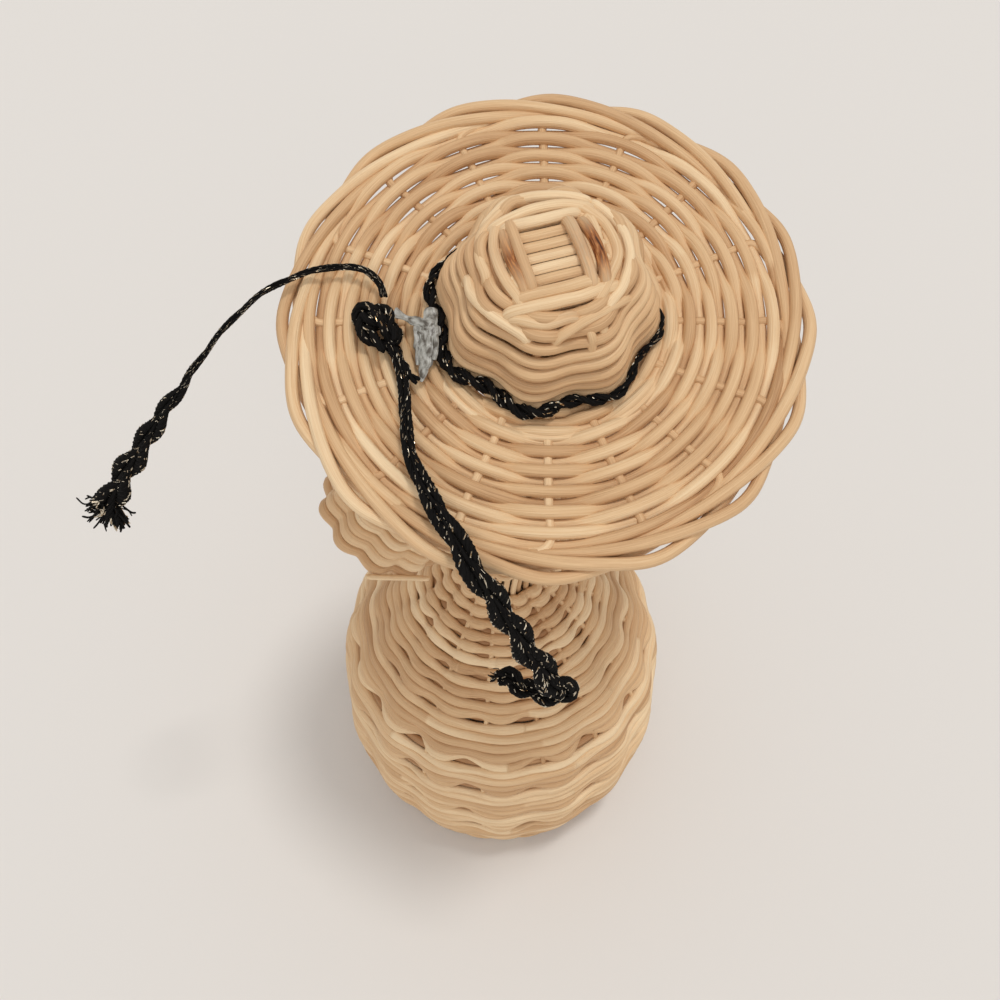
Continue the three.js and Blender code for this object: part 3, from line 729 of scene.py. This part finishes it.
def stakes(strands, face, start, stop, count, radius, rng, first=0.0, off=0.0, keep=None):
    """Straight stakes up the face, as far as keep is true for them."""
    at = np.linspace(start, stop, max(int((stop - start) / 3), 3))
    for k in range(count):
        angle = np.full(len(at), first + TAU * k / count)
        line = face.place(at, angle, off)
        if keep is not None:
            line = line[keep(line)]
            if len(line) < 3:
                continue
        out = face.facing(at[: len(line)], angle[: len(line)])
        strands.add(line, radius, out, rng, tone=rng.uniform(0.2, 0.8))


# Brim.

WEAVER_R = 1.62
LOBES = STAKES // 2
BRIM_ROW = 2.6
BRIM_FIRST_ROW = 0.4
BRIM_LAST_ROW = 40.2
BRIM_SWING = (1.2, 1.3)
STAKE_R = 1.15
BORDER_STRAND_R = 1.62
BORDER_R = 63.3
BORDER_HALF_W = 2.35
BORDER_HALF_T = 1.8
# Each border strand passes this many stakes on its one turn round the border, from and to these shares of
# the turn, and bulges out by the scallop where it is outermost.
BORDER_SPAN = 4
BORDER_RUN = (0.06, 1.1)
SCALLOP, SCALLOP_SHARE = 1.0, 0.085


def add_brim():
    """The brim's rows and border, which share their random draws."""
    rng = np.random.default_rng(31)
    add_brim_rows(rng)
    add_border(rng)


def add_brim_rows(rng):
    """Two weavers that chase each other, and a flat one under the hat band."""
    brim = Face([(20.4, 0), (40, 0), (61, 0)], 0)
    brim.out[:] = (0, 1)
    rows = Strands(in_hat)
    for row, phase in ((0, 0), (1, math.pi)):
        weave(
            rows, brim, BRIM_FIRST_ROW + BRIM_ROW * row, BRIM_LAST_ROW, 2 * BRIM_ROW, LOBES, BRIM_SWING,
            WEAVER_R, rng, phase=phase, crisp=1.3, loose=1.6,
        )
    weave(rows, brim, 1.6, 13.5, 3.4, LOBES, (0.3, 0.3), 1.4, rng)
    rows.build("brim_rows", [REED], "reed", "brim_weaver_a", "brim_weaver_b")


def add_border(rng):
    """The stakes, each bent sideways at the brim's edge and rolled round those next to it."""
    border = Strands(in_hat)
    for k in range(STAKES):
        angle = k * SPACING
        points = [polar(r, np.array(angle), 0.0) for r in (23.5, 38, 50, 58.4)]
        for u in np.linspace(*BORDER_RUN, 26):
            roll = math.pi + TAU * u - 0.3 * math.sin(TAU * u)
            scallop = SCALLOP * math.exp(-((u - 0.5) / SCALLOP_SHARE) ** 2)
            r = BORDER_R + BORDER_HALF_W * math.cos(roll) + scallop
            passed = np.array(angle - u * BORDER_SPAN * SPACING)
            points.append(polar(r, passed, BORDER_HALF_T * math.sin(roll)))
        line = smooth(points, 1.5)
        at = length_along(line)
        line = shaken(line, at, 14, 0.18, rng)
        radius = np.interp(at, (0, 34, 44), (STAKE_R, STAKE_R, BORDER_STRAND_R)) * rng.uniform(0.95, 1.06)
        border.add(line, radius, upward(line), rng, tone=rng.uniform(0.4, 0.85))
    border.build("brim_border", [REED], "reed", *numbered("brim_stake", STAKES))


# Crown.

CROWN_H = 27.2
# The crown's middle, at its foot and how it moves up to its top, and the turn of its lobes and cross.
CROWN_FOOT = np.array([-0.1, 2.6, 0.0])
CROWN_LEAN = np.array([1.2, 1.7, 0.0])
LOBE_TURN = math.radians(80)
CROSS_TURN = math.radians(14.9)
CROWN = Face([
    (27, -0.6), (26.6, 1), (25.7, 5), (24.6, 10), (22.9, 15), (20.3, 20), (17.4, 23.6), (15.2, 25.3),
], 0.2)
CROWN_ROW = 3.5
CROWN_REED_R = 1.5
CROWN_STAKE_R = 1.2
# The cross: the spokes' radius down the crown, what they gain on its top and how far they are flattened
# there, the half width of the window, and the radius at which they have fanned out.
UPRIGHT_R, SPOKE_GAIN = 0.85, 0.5
SPOKE_FLAT = 0.4
WINDOW_HALF = 7.2
FAN_R = 15
# The start wrap's rounded squares: half widths along X and Y, heights at the X and Y sides, squareness.
WRAP_R = 1.36
WRAP_LOOPS = (
    (8.0, 8.2, 26.4, 21.1, 6.0), (10.5, 10.2, 26.2, 21.1, 5.0), (12.8, 9.0, 24.8, 25.6, 4.0),
    (14.4, 11.7, 23.0, 23.9, 3.0), (16.0, 14.3, 21.8, 22.4, 2.4),
)
# Stretches of weaver that lie on top of the crown, round its window: points, radius, and how far the
# bark on it is scorched, from end to end.
CROWN_BARS = (
    ([(-10.4, 6.6, 27.4), (-8.4, -0.3, 27.9), (-5.7, -8.8, 27.6)], 1.35, (0.05, 0.12, 0.2)),
    ([(-11.8, 4.3, 27.1), (-10.2, -2.6, 27.4), (-7.3, -9.4, 27.2)], 1.3, (0.1, 1.1, 0.1)),
    ([(-13.8, 6.3, 25.7), (-14.1, 0.8, 26.1), (-11.5, -6.6, 26.4), (-7.9, -12.0, 26.0)],
     1.35, (0, 0.2, 0, 0)),
    ([(-12.6, 12.0, 24.2), (-16.8, 6.3, 23.9), (-17.5, 0.8, 24.2), (-15.8, -4.7, 24.8)], 1.35, (0, 0)),
    ([(3.2, 7.0, 28.0), (6.1, -0.3, 28.0), (8.2, -7.3, 27.6)], 1.5, (0.25, 0.5, 0.3)),
    ([(6.5, 7.3, 27.5), (9.6, 1.0, 27.5), (11.3, -6.4, 27.0)], 1.4, (0.15, 1.6, 0.2)),
    ([(6.3, 12.4, 26.2), (11.8, 7.6, 26.1), (14.4, 0.8, 26.0), (12.3, -6.5, 26.2), (9.9, -10.9, 25.9)],
     1.3, (0, 0)),
    ([(9.9, 14.5, 24.1), (15.5, 8.9, 23.9), (17.8, 1.5, 23.9), (15.8, -6.8, 24.4), (11.9, -12.2, 24.4)],
     1.3, (0, 0)),
    ([(-7.7, -11.4, 26.3), (0.3, -9.6, 27.1), (8.3, -7.4, 26.9)], 1.6, (0, 0)),
    ([(-9.6, -13.9, 24.7), (-0.6, -12.8, 26.5), (11.2, -8.8, 25.7), (14.6, -6.4, 23.2)], 1.6, (0, 0)),
    ([(-8.9, -15.3, 24.0), (-2.3, -16.8, 24.5), (3.8, -15.6, 25.1)], 1.5, (0, 0, 0.3)),
    ([(-19.8, -2.6, 19.4), (-18.8, -7.2, 21.4), (-14.4, -13.2, 22.5), (-7.0, -18.2, 21.9)], 1.6, (0, 0)),
    ([(1.2, -18.6, 22.7), (6.7, -16.0, 24.4), (12.6, -12.2, 23.8), (16.8, -8.2, 20.4)], 1.55, (0, 0)),
    ([(-11.1, 6.2, 26.7), (-4.1, 8.0, 27.2), (4.3, 10.3, 26.9)], 1.45, (0.2, 0, 0.1)),
    ([(-13.8, 7.5, 25.5), (-6.8, 10.9, 26.4), (1.8, 12.7, 26.4), (7.8, 12.3, 25.9)], 1.45, (0, 0)),
    ([(-15.6, 9.7, 23.6), (-10.2, 15.0, 23.7), (-2.0, 16.1, 25.0), (7.0, 15.2, 24.6)], 1.4, (0, 0)),
    ([(8.0, -17.4, 22.6), (8.3, -18.0, 22.0), (8.8, -18.9, 20.8)], 1.15, (0, 0)),
    ([(10.8, -15.4, 23.0), (11.1, -16.0, 22.4), (11.6, -16.8, 21.2)], 1.15, (0, 0)),
)
# How far the ends of these stretches run on, and how deep they dip there.
BAR_END, BAR_DIP = 1.5, 3.2


def in_crown(points):
    """Points round the crown's own middle, which lies behind the brim's and leans back and right."""
    share = np.clip(points[..., 2:3] / CROWN_H, 0, 1.1)
    return in_hat(points + CROWN_FOOT + share * CROWN_LEAN)


def add_crown():
    """The crown's rows, cross and wrap, which share their random draws."""
    rng = np.random.default_rng(32)
    add_crown_rows(rng)
    add_crown_cross(rng)
    add_crown_wrap(rng)


def add_crown_rows(rng):
    rows = Strands(in_crown)
    # Painted light: the crown's rows get a paler tone for the light on the crown's front.
    weave(
        rows, CROWN, 1.2, CROWN.length - 0.3, CROWN_ROW, LOBES, (1.6, 0.9), CROWN_REED_R, rng,
        phase=LOBE_TURN, loose=2.4, painted_light=0.14,
    )
    first = -LOBE_TURN / LOBES
    stakes(rows, CROWN, 0.5, CROWN.length - 4, LOBES, CROWN_STAKE_R, rng, first=first, off=-0.9)
    rows.build("crown_rows", [REED], "reed", "crown_weaver")


def spoke_line(offset, fan, height):
    """A spoke along X over the crown's top and, fanned out to both sides, down to its foot."""
    half = []
    for x in (WINDOW_HALF, 9.5, 11.5):
        share = (x - WINDOW_HALF) / (FAN_R * math.cos(fan) - WINDOW_HALF)
        half.append((x, offset + (FAN_R * math.sin(fan) - offset) * share, height - 0.5 * share * share))
    for r, z in ((14.6, 21.8), (18.4, 16.0), (21.2, 9.0), (22.6, 3.5), (23.4, 0.5)):
        half.append((r * math.cos(fan), r * math.sin(fan), z))
    return smooth([(-x, y, z) for x, y, z in half[::-1]] + half, 1.2)


def add_crown_cross(rng):
    """Spokes one way over those the other way, wide and flat on top and thin down the crown."""
    spokes = Strands(in_crown)
    for count, pitch, height, way in ((5, 2.95, 26.3, 0.0), (4, 3.0, 24.2, math.pi / 2)):
        for k in range(count):
            place = k - (count - 1) / 2
            line = spoke_line(place * pitch, place * TAU / 4 / count, height)
            middle = np.clip((11 - np.abs(line[:, 0])) / 3, 0, 1)
            out = unit(np.stack([line[:, 0], line[:, 1], 6 + 0 * line[:, 0]], -1))
            out = unit(out * (1 - middle[:, None]) + UP * middle[:, None])
            line = turned(line, CROSS_TURN + way, 2)
            out = turned(out, CROSS_TURN + way, 2)
            radius = UPRIGHT_R + SPOKE_GAIN * middle
            flat = 1 - SPOKE_FLAT * middle
            spokes.add(line, radius, out, rng, flat=flat, tone=rng.uniform(0.6, 0.9))
    spokes.build("crown_cross", [REED], "reed", *numbered("crown_spoke", 8))


def add_crown_wrap(rng):
    wrap = Strands(in_crown)
    t = np.linspace(0, TAU, 90, endpoint=False)
    for half_x, half_y, over_x, over_y, square in WRAP_LOOPS:
        reach = (np.abs(np.cos(t)) ** square + np.abs(np.sin(t)) ** square) ** (-1 / square)
        side = np.clip(0.5 + 1.1 * np.cos(2 * t), 0, 1)
        z = over_y + (over_x - over_y) * side * side * (3 - 2 * side)
        line = np.stack([half_x * reach * np.cos(t), half_y * reach * np.sin(t), z], -1)
        line = turned(line, CROSS_TURN, 2)
        line = line + np.stack([ripple(t, 0.16, rng, 2, 7) for _ in range(3)], -1)
        wrap.add(line, WRAP_R, upward(line), rng, tone=rng.uniform(0.42, 0.8), closed=True)
    for points, radius, bark in CROWN_BARS:
        p = np.array(points)
        first = p[0] + BAR_END * unit(p[0] - p[1]) - BAR_DIP * UP
        last = p[-1] + BAR_END * unit(p[-1] - p[-2]) - BAR_DIP * UP
        line = smooth([first, *p, last], 0.8)
        at = length_along(line)
        line = shaken(line, at, 5, 0.16, rng)
        scorch = np.interp(at / at[-1], np.linspace(0.1, 0.9, len(bark)), bark)
        thick = radius * (1 + wander(at, 6, 0.06, rng))
        wrap.add(line, thick, upward(line), rng, 10, flat=0.88, tone=rng.uniform(0.5, 0.9), scorch=scorch)
    wrap.build("crown_wrap", [REED], "reed", "crown_start_wrap")


# Skirt.

SKIRT = Face([
    (58.5, 6.3), (63.1, 26), (64.6, 46), (63.1, 68), (59.6, 90), (49.45, 110), (34.5, 130),
    (16, SKIRT_TOP),
], 0)
SKIRT_ROWS = 36
SKIRT_REED_R = 2.2
# How deep the rows lie under the face, and how far they keep from its foot and top.
SKIRT_DEPTH = 2.0
SKIRT_MARGIN = 1.6
SKIRT_STEP = 1.3
SKIRT_LEAST_POINTS = 208
# The row from which the skirt draws in to the waist, and the one below which slits sink the rows over them.
FLARE_ROW = 28
LOW_ROWS = FLARE_ROW - 4
# The rows under which slits open between the stakes, and how far. The rows next to a slit and the two further
# off are pulled away from it by these shares, and those over it are sunk by so many times their pull.
SLITS = {2: 1.3, 7: 1.3, 11: 1.25, 16: 1.2, 20: 1.15, 25: 0.9, 27: 0.65}
SLITS |= {row: 0.75 for row in range(29, SKIRT_ROWS)}
SLIT_PULL = (1.0, 0.45, 0.15)
SLIT_SINK = 1.8
SLIT_SEED = 600
# The reed behind a slit, in the darkest tone as painted shade.
BACKING_OFF, BACKING_R = -4.1, 1.6
SKIRT_STAKE_R = 1.0
SKIRT_STAKE_OFF = -2.7
# The angles, in radians, at which the first two stakes stand.
STAKE_PAIR = (-0.115, -0.045)
HEM_STRANDS = 32
HEM_SPAN = 4
HEM_REED_R = 1.13
# The hem's roll: the radius and height of its middle, and half its width and height.
HEM_R, HEM_Z = 55.6, 3.0
HEM_HALF_W, HEM_HALF_H = 1.9, 1.85
WAIST_REEDS = 32
WAIST_R, WAIST_REED_R = 13.6, 1.08
WAIST_FROM, WAIST_TO = 143, 161


def add_skirt():
    """The skirt's rows, hem and waist, which share their random draws."""
    rng = np.random.default_rng(41)
    add_skirt_rows(rng)
    add_hem(rng)
    add_waist(rng)


def pulled(row, at, gap, angle):
    """Where the slits near a row pull it along the face, how thin they draw it and how deep they sink it."""
    drawn = 0 * angle
    sunk = 0 * angle
    for edge, opened in SLITS.items():
        side, away = (1, row - edge) if row >= edge else (-1, edge - 1 - row)
        if away >= len(SLIT_PULL):
            continue
        slit_rng = np.random.default_rng(SLIT_SEED + edge)
        uneven = np.clip(0.9 + ripple(angle, 0.4, slit_rng, 1, 7), 0.15, 1.5)
        pull = gap * opened * uneven * SLIT_PULL[away]
        at = at + side * pull
        if away == 0:
            drawn = np.maximum(drawn, pull)
        if side > 0 and row < LOW_ROWS:
            sunk = np.maximum(sunk, SLIT_SINK * pull)
    return at, drawn, sunk


def add_painted_shade_backing(rows, pitch, rng):
    """Reed put behind the slits in the darkest tone: painted shade for the unlit inside of the skirt."""
    angle = np.linspace(0, TAU, 160, endpoint=False)
    for edge in SLITS:
        at = edge * pitch + ripple(angle, 0.3, rng)
        line = SKIRT.place(at, angle, BACKING_OFF + ripple(angle, 0.2, rng))
        out = SKIRT.facing(edge * pitch + 0 * angle, angle)
        # Painted shade: the darkest tone, for the unlit inside of the skirt.
        rows.add(line, BACKING_R, out, rng, tone=0.0, closed=True)


def add_skirt_rows(rng):
    """Rows of reed over double stakes. Between the stakes slits open at some rows, onto reed behind."""
    rows = Strands(in_body)
    pitch = SKIRT.length / SKIRT_ROWS
    joins = np.random.default_rng(42).uniform(0, TAU, SKIRT_ROWS)
    for row in range(SKIRT_ROWS):
        r = SKIRT.radius((row + 0.5) * pitch)
        count = max(int(TAU * r / SKIRT_STEP), SKIRT_LEAST_POINTS)
        angle = joins[row] + np.linspace(0, TAU, count, endpoint=False)
        over = 0.5 + 0.5 * np.cos(STAKES * angle + ripple(angle, 0.4, rng))
        gap = (1 - over) ** 1.3
        flare = min(max(row - FLARE_ROW + 1.5, 0) / 2, 1)
        at = (row + 0.5) * pitch + ripple(angle, 0.16, rng) + 0.25 * flare * np.cos(8 * angle + 1.2)
        at, drawn, sunk = pulled(row, at, gap, angle)
        swell = (0.9 - 0.3 * flare) * min(1, r / 42)
        off = swell * over - SKIRT_DEPTH - 0.6 * drawn - sunk + ripple(angle, 0.1, rng)
        at = np.clip(at, SKIRT_MARGIN, SKIRT.length - SKIRT_MARGIN)
        line = SKIRT.place(at, angle, off)
        radius = (SKIRT_REED_R - (0.45 + 0.35 * flare) * drawn) * rng.uniform(0.97, 1.04)
        # Painted light: the skirt's rows get a slightly paler tone for the light on their fronts.
        shade = tones(length_along(line), rng, painted_light=0.08)
        rows.add(line, radius, SKIRT.facing(at, angle), rng, 9, flat=0.9, tone=shade, closed=True)
    add_painted_shade_backing(rows, pitch, rng)
    for first in STAKE_PAIR:
        stakes(
            rows, SKIRT, 0.4, SKIRT.length - 1, STAKES, SKIRT_STAKE_R, rng, first=first, off=SKIRT_STAKE_OFF,
        )
    rows.build("skirt_reeds", [REED], "reed", "skirt_weave")


def add_hem(rng):
    hem = Strands(in_body)
    u = np.linspace(0, 1, 16)
    roll = math.pi + TAU * u
    for k in range(HEM_STRANDS):
        angle = TAU * (k / HEM_STRANDS - u * HEM_SPAN / HEM_STRANDS)
        line = polar(HEM_R + HEM_HALF_W * np.cos(roll), angle, HEM_Z + HEM_HALF_H * np.sin(roll))
        line = smooth(line, 1.8)
        hem.add(line, HEM_REED_R, upward(line), rng, tone=rng.uniform(0.3, 0.9))
    hem.build("hem_plait", [REED], "reed", "hem_border")


def add_waist(rng):
    waist = Strands(in_body)
    z = np.linspace(WAIST_FROM, WAIST_TO, 8)
    for k in range(WAIST_REEDS):
        angle = TAU * (k + 0.5) / WAIST_REEDS + rng.normal(0, 0.02) + 0 * z
        line = polar(WAIST_R + 0.3 * rng.normal(), angle, z)
        waist.add(line, WAIST_REED_R, polar(1.0, angle, 0.0), rng, tone=rng.uniform(0.3, 0.9))
    waist.build("waist_reeds", [REED], "reed", *numbered("waist_stake", 12))


# Bodice, neck and head.

BODICE = Face([(15, 157), (17, 171.2), (21, 198.2), (20.2, 211), (15, 223), (9, 228)], 1.2)
BODICE_ROW = 2.4
BODICE_SWING = (1.25, 0.9)
BODICE_REED_R = 1.12
NECK = Face([(6.6, 228.4), (6.6, 238), (6.6, 251)], 0.4)
NECK_REED_R = 1.3
HEAD_R, HEAD_Z = 20.1, 268.1
HEAD_ROW = 2.4
HEAD_REED_R = 1.12


def add_bodice():
    """The bodice, neck and head, which share their random draws."""
    rng = np.random.default_rng(42)
    rows = Strands(in_body)
    for row, phase in ((0, 0), (1, math.pi)):
        weave(
            rows, BODICE, 1.2 + BODICE_ROW * row, BODICE.length - 0.6, 2 * BODICE_ROW, 8, BODICE_SWING,
            BODICE_REED_R, rng, phase=phase,
        )
    stakes(rows, BODICE, 0.4, BODICE.length - 1, 16, 0.9, rng)
    rows.build("bodice_reeds", [REED], "reed", "bodice_weave")

    neck = Strands(in_body)
    weave(neck, NECK, 1.2, 21.6, 2.6, 4, (0.15, 0.15), NECK_REED_R, rng)
    neck.build("neck_reeds", [REED], "reed", "neck_binding")

    head = Strands(in_body)
    t = np.linspace(-math.pi / 2 + 0.06, math.pi / 2 - 0.12, 40)
    ball = Face(np.stack([HEAD_R * np.cos(t), HEAD_Z + HEAD_R * np.sin(t)], -1), 0.9)
    weave(head, ball, 0.6, ball.length - 0.6, HEAD_ROW, 6, (0.6, 0.6), HEAD_REED_R, rng)
    stakes(head, ball, 0.4, ball.length - 0.6, 12, 0.8, rng)
    head.build("head_reeds", [REED], "reed", "head")


# Sleeves.

SLEEVE_TOP = 227.5
SLEEVE_OUT = 18.6
SLEEVE_SPREAD = math.radians(38)
SLEEVE = Face([(19.5, -47.5), (18.45, -34.2), (14.25, -15.2), (9, -4.75), (5.4, 0)], 1.1)
SLEEVE_ROW = 3.8
SLEEVE_REED_R = 1.78
# How far the sleeve's reeds keep from the bodice.
BODICE_CLEAR = 1.6
# The straight reed along the sleeve's front edge, in the sleeve's own frame.
EDGE_REED_R = 0.9
EDGE_FROM, EDGE_TO = -9.75, 11
EDGE_Y, EDGE_Z = -20.8, -46
EDGE_RISE = 0.16


def add_sleeve(name, hand):
    """A sleeve and its edge reed. hand is -1 on the picture's left side and 1 on its right side."""
    rng = np.random.default_rng(50 + hand)

    def to_body(points):
        """From the sleeve's own frame, its axis up Z and its mouth at the bottom, to the body's."""
        made = turned(points, -hand * SLEEVE_SPREAD, 1) + [hand * SLEEVE_OUT, 0, 0]
        return turned(made, TURN, 2) + [0, 0, SLEEVE_TOP]

    def to_frame(points):
        return to_body(points) + [LEAN * (SLEEVE_TOP - SKIRT_TOP) + AXIS_X, AXIS_Y, 0]

    def free(points):
        """True outside the bodice, whose axis leans a little away from the sleeve's."""
        p = to_body(points)
        x = p[:, 0] + LEAN * (SLEEVE_TOP - p[:, 2])
        near = np.interp(p[:, 2], BODICE.line[:, 1], BODICE.line[:, 0] + BODICE_CLEAR)
        return np.hypot(x, p[:, 1]) > near

    rows = Strands(to_frame)
    weave(
        rows, SLEEVE, 0.3, SLEEVE.length - 0.5, SLEEVE_ROW, 10, (1.4, 0.9), SLEEVE_REED_R, rng,
        keep=free, phase=0.5, loose=1.1,
    )
    stakes(rows, SLEEVE, 0.2, SLEEVE.length - 1, 12, 0.85, rng, off=-2.4, keep=free)
    rows.build(f"sleeve_reeds_{name}", [REED], "reed", f"sleeve_{name}")

    edge = Strands(to_frame)
    x = np.linspace(EDGE_FROM, EDGE_TO, 12)
    z = EDGE_Z + EDGE_RISE * (x - EDGE_FROM) + 0.12 * np.sin(x / 3)
    line = np.stack([hand * -x, EDGE_Y + 0 * x, z], -1)
    edge.add(line, EDGE_REED_R, upward(line), rng, tone=0.9)
    edge.build(f"sleeve_edge_{name}", [REED], "reed", f"sleeve_edge_reed_{name}")


# Stage, in metres.

FLOOR_COLOUR = (222, 218, 214)
FLOOR_HALF = 6
SKY_COLOUR = (1, 0.99, 0.975, 1)
SKY_STRENGTH = 0.66
LAMP_COLOUR = (1, 0.985, 0.955)
# Lamps: strength, how wide they look and how they are turned about X and Y, in degrees.
LAMPS = (("key", 1.0, 9, (-1.1, 10)), ("fill", 0.4, 50, (52, 0)))


def add_stage():
    add_floor()
    add_world()
    for name, energy, wide, (about_x, about_y) in LAMPS:
        data = bpy.data.lights.new(name, "SUN")
        data.energy = energy
        data.angle = math.radians(wide)
        data.color = LAMP_COLOUR
        lamp = bpy.data.objects.new(name, data)
        lamp.rotation_euler = (math.radians(about_x), math.radians(about_y), 0)
        bpy.context.scene.collection.objects.link(lamp)
    bpy.context.scene.view_settings.view_transform = "Standard"


def add_floor():
    mesh = bpy.data.meshes.new("floor")
    corners = [(x * FLOOR_HALF, y * FLOOR_HALF, 0) for x, y in ((-1, -1), (1, -1), (1, 1), (-1, 1))]
    mesh.from_pydata(corners, [], [(0, 1, 2, 3)])
    floor = bpy.data.objects.new("floor", mesh)
    made, _, _, shader = material("floor", Roughness=0.9, Specular_IOR_Level=0.1)
    shader.inputs["Base Color"].default_value = (*linear(FLOOR_COLOUR), 1)
    mesh.materials.append(made)
    bpy.context.scene.collection.objects.link(floor)


def add_world():
    """Soft light from all round. The camera, through glue too, sees the floor's colour in its place."""
    world = bpy.data.worlds.new("studio")
    world.use_nodes = True
    nodes, links = world.node_tree.nodes, world.node_tree.links
    sky = nodes["Background"]
    sky.inputs["Color"].default_value = SKY_COLOUR
    sky.inputs["Strength"].default_value = SKY_STRENGTH
    backdrop = nodes.new("ShaderNodeBackground")
    backdrop.inputs["Color"].default_value = (*linear(FLOOR_COLOUR), 1)
    path = nodes.new("ShaderNodeLightPath").outputs
    seen = math_node(nodes, links, "MAXIMUM", path["Is Camera Ray"], path["Is Transmission Ray"])
    choose = nodes.new("ShaderNodeMixShader")
    links.new(seen, choose.inputs[0])
    links.new(sky.outputs[0], choose.inputs[1])
    links.new(backdrop.outputs[0], choose.inputs[2])
    links.new(choose.outputs[0], nodes["World Output"].inputs["Surface"])
    bpy.context.scene.world = world


add_camera()
add_tail(
    "tail_left", LEFT_TAIL, LEFT_WIDTHS, LEFT_LAYS, LEFT_TUFTS,
    ("tail_left_thin", "tail_left_twist"), seed=11,
)
add_tail(
    "tail_front", FRONT_TAIL, FRONT_WIDTHS, FRONT_LAYS, FRONT_TUFTS,
    ("tail_front_thin", "tail_front_twist", "tail_front_tip"), seed=12,
)
add_band()
add_bow()
add_glue()
add_brim()
add_crown()
add_skirt()
add_bodice()
add_sleeve("left", -1)
add_sleeve("right", 1)
add_stage()
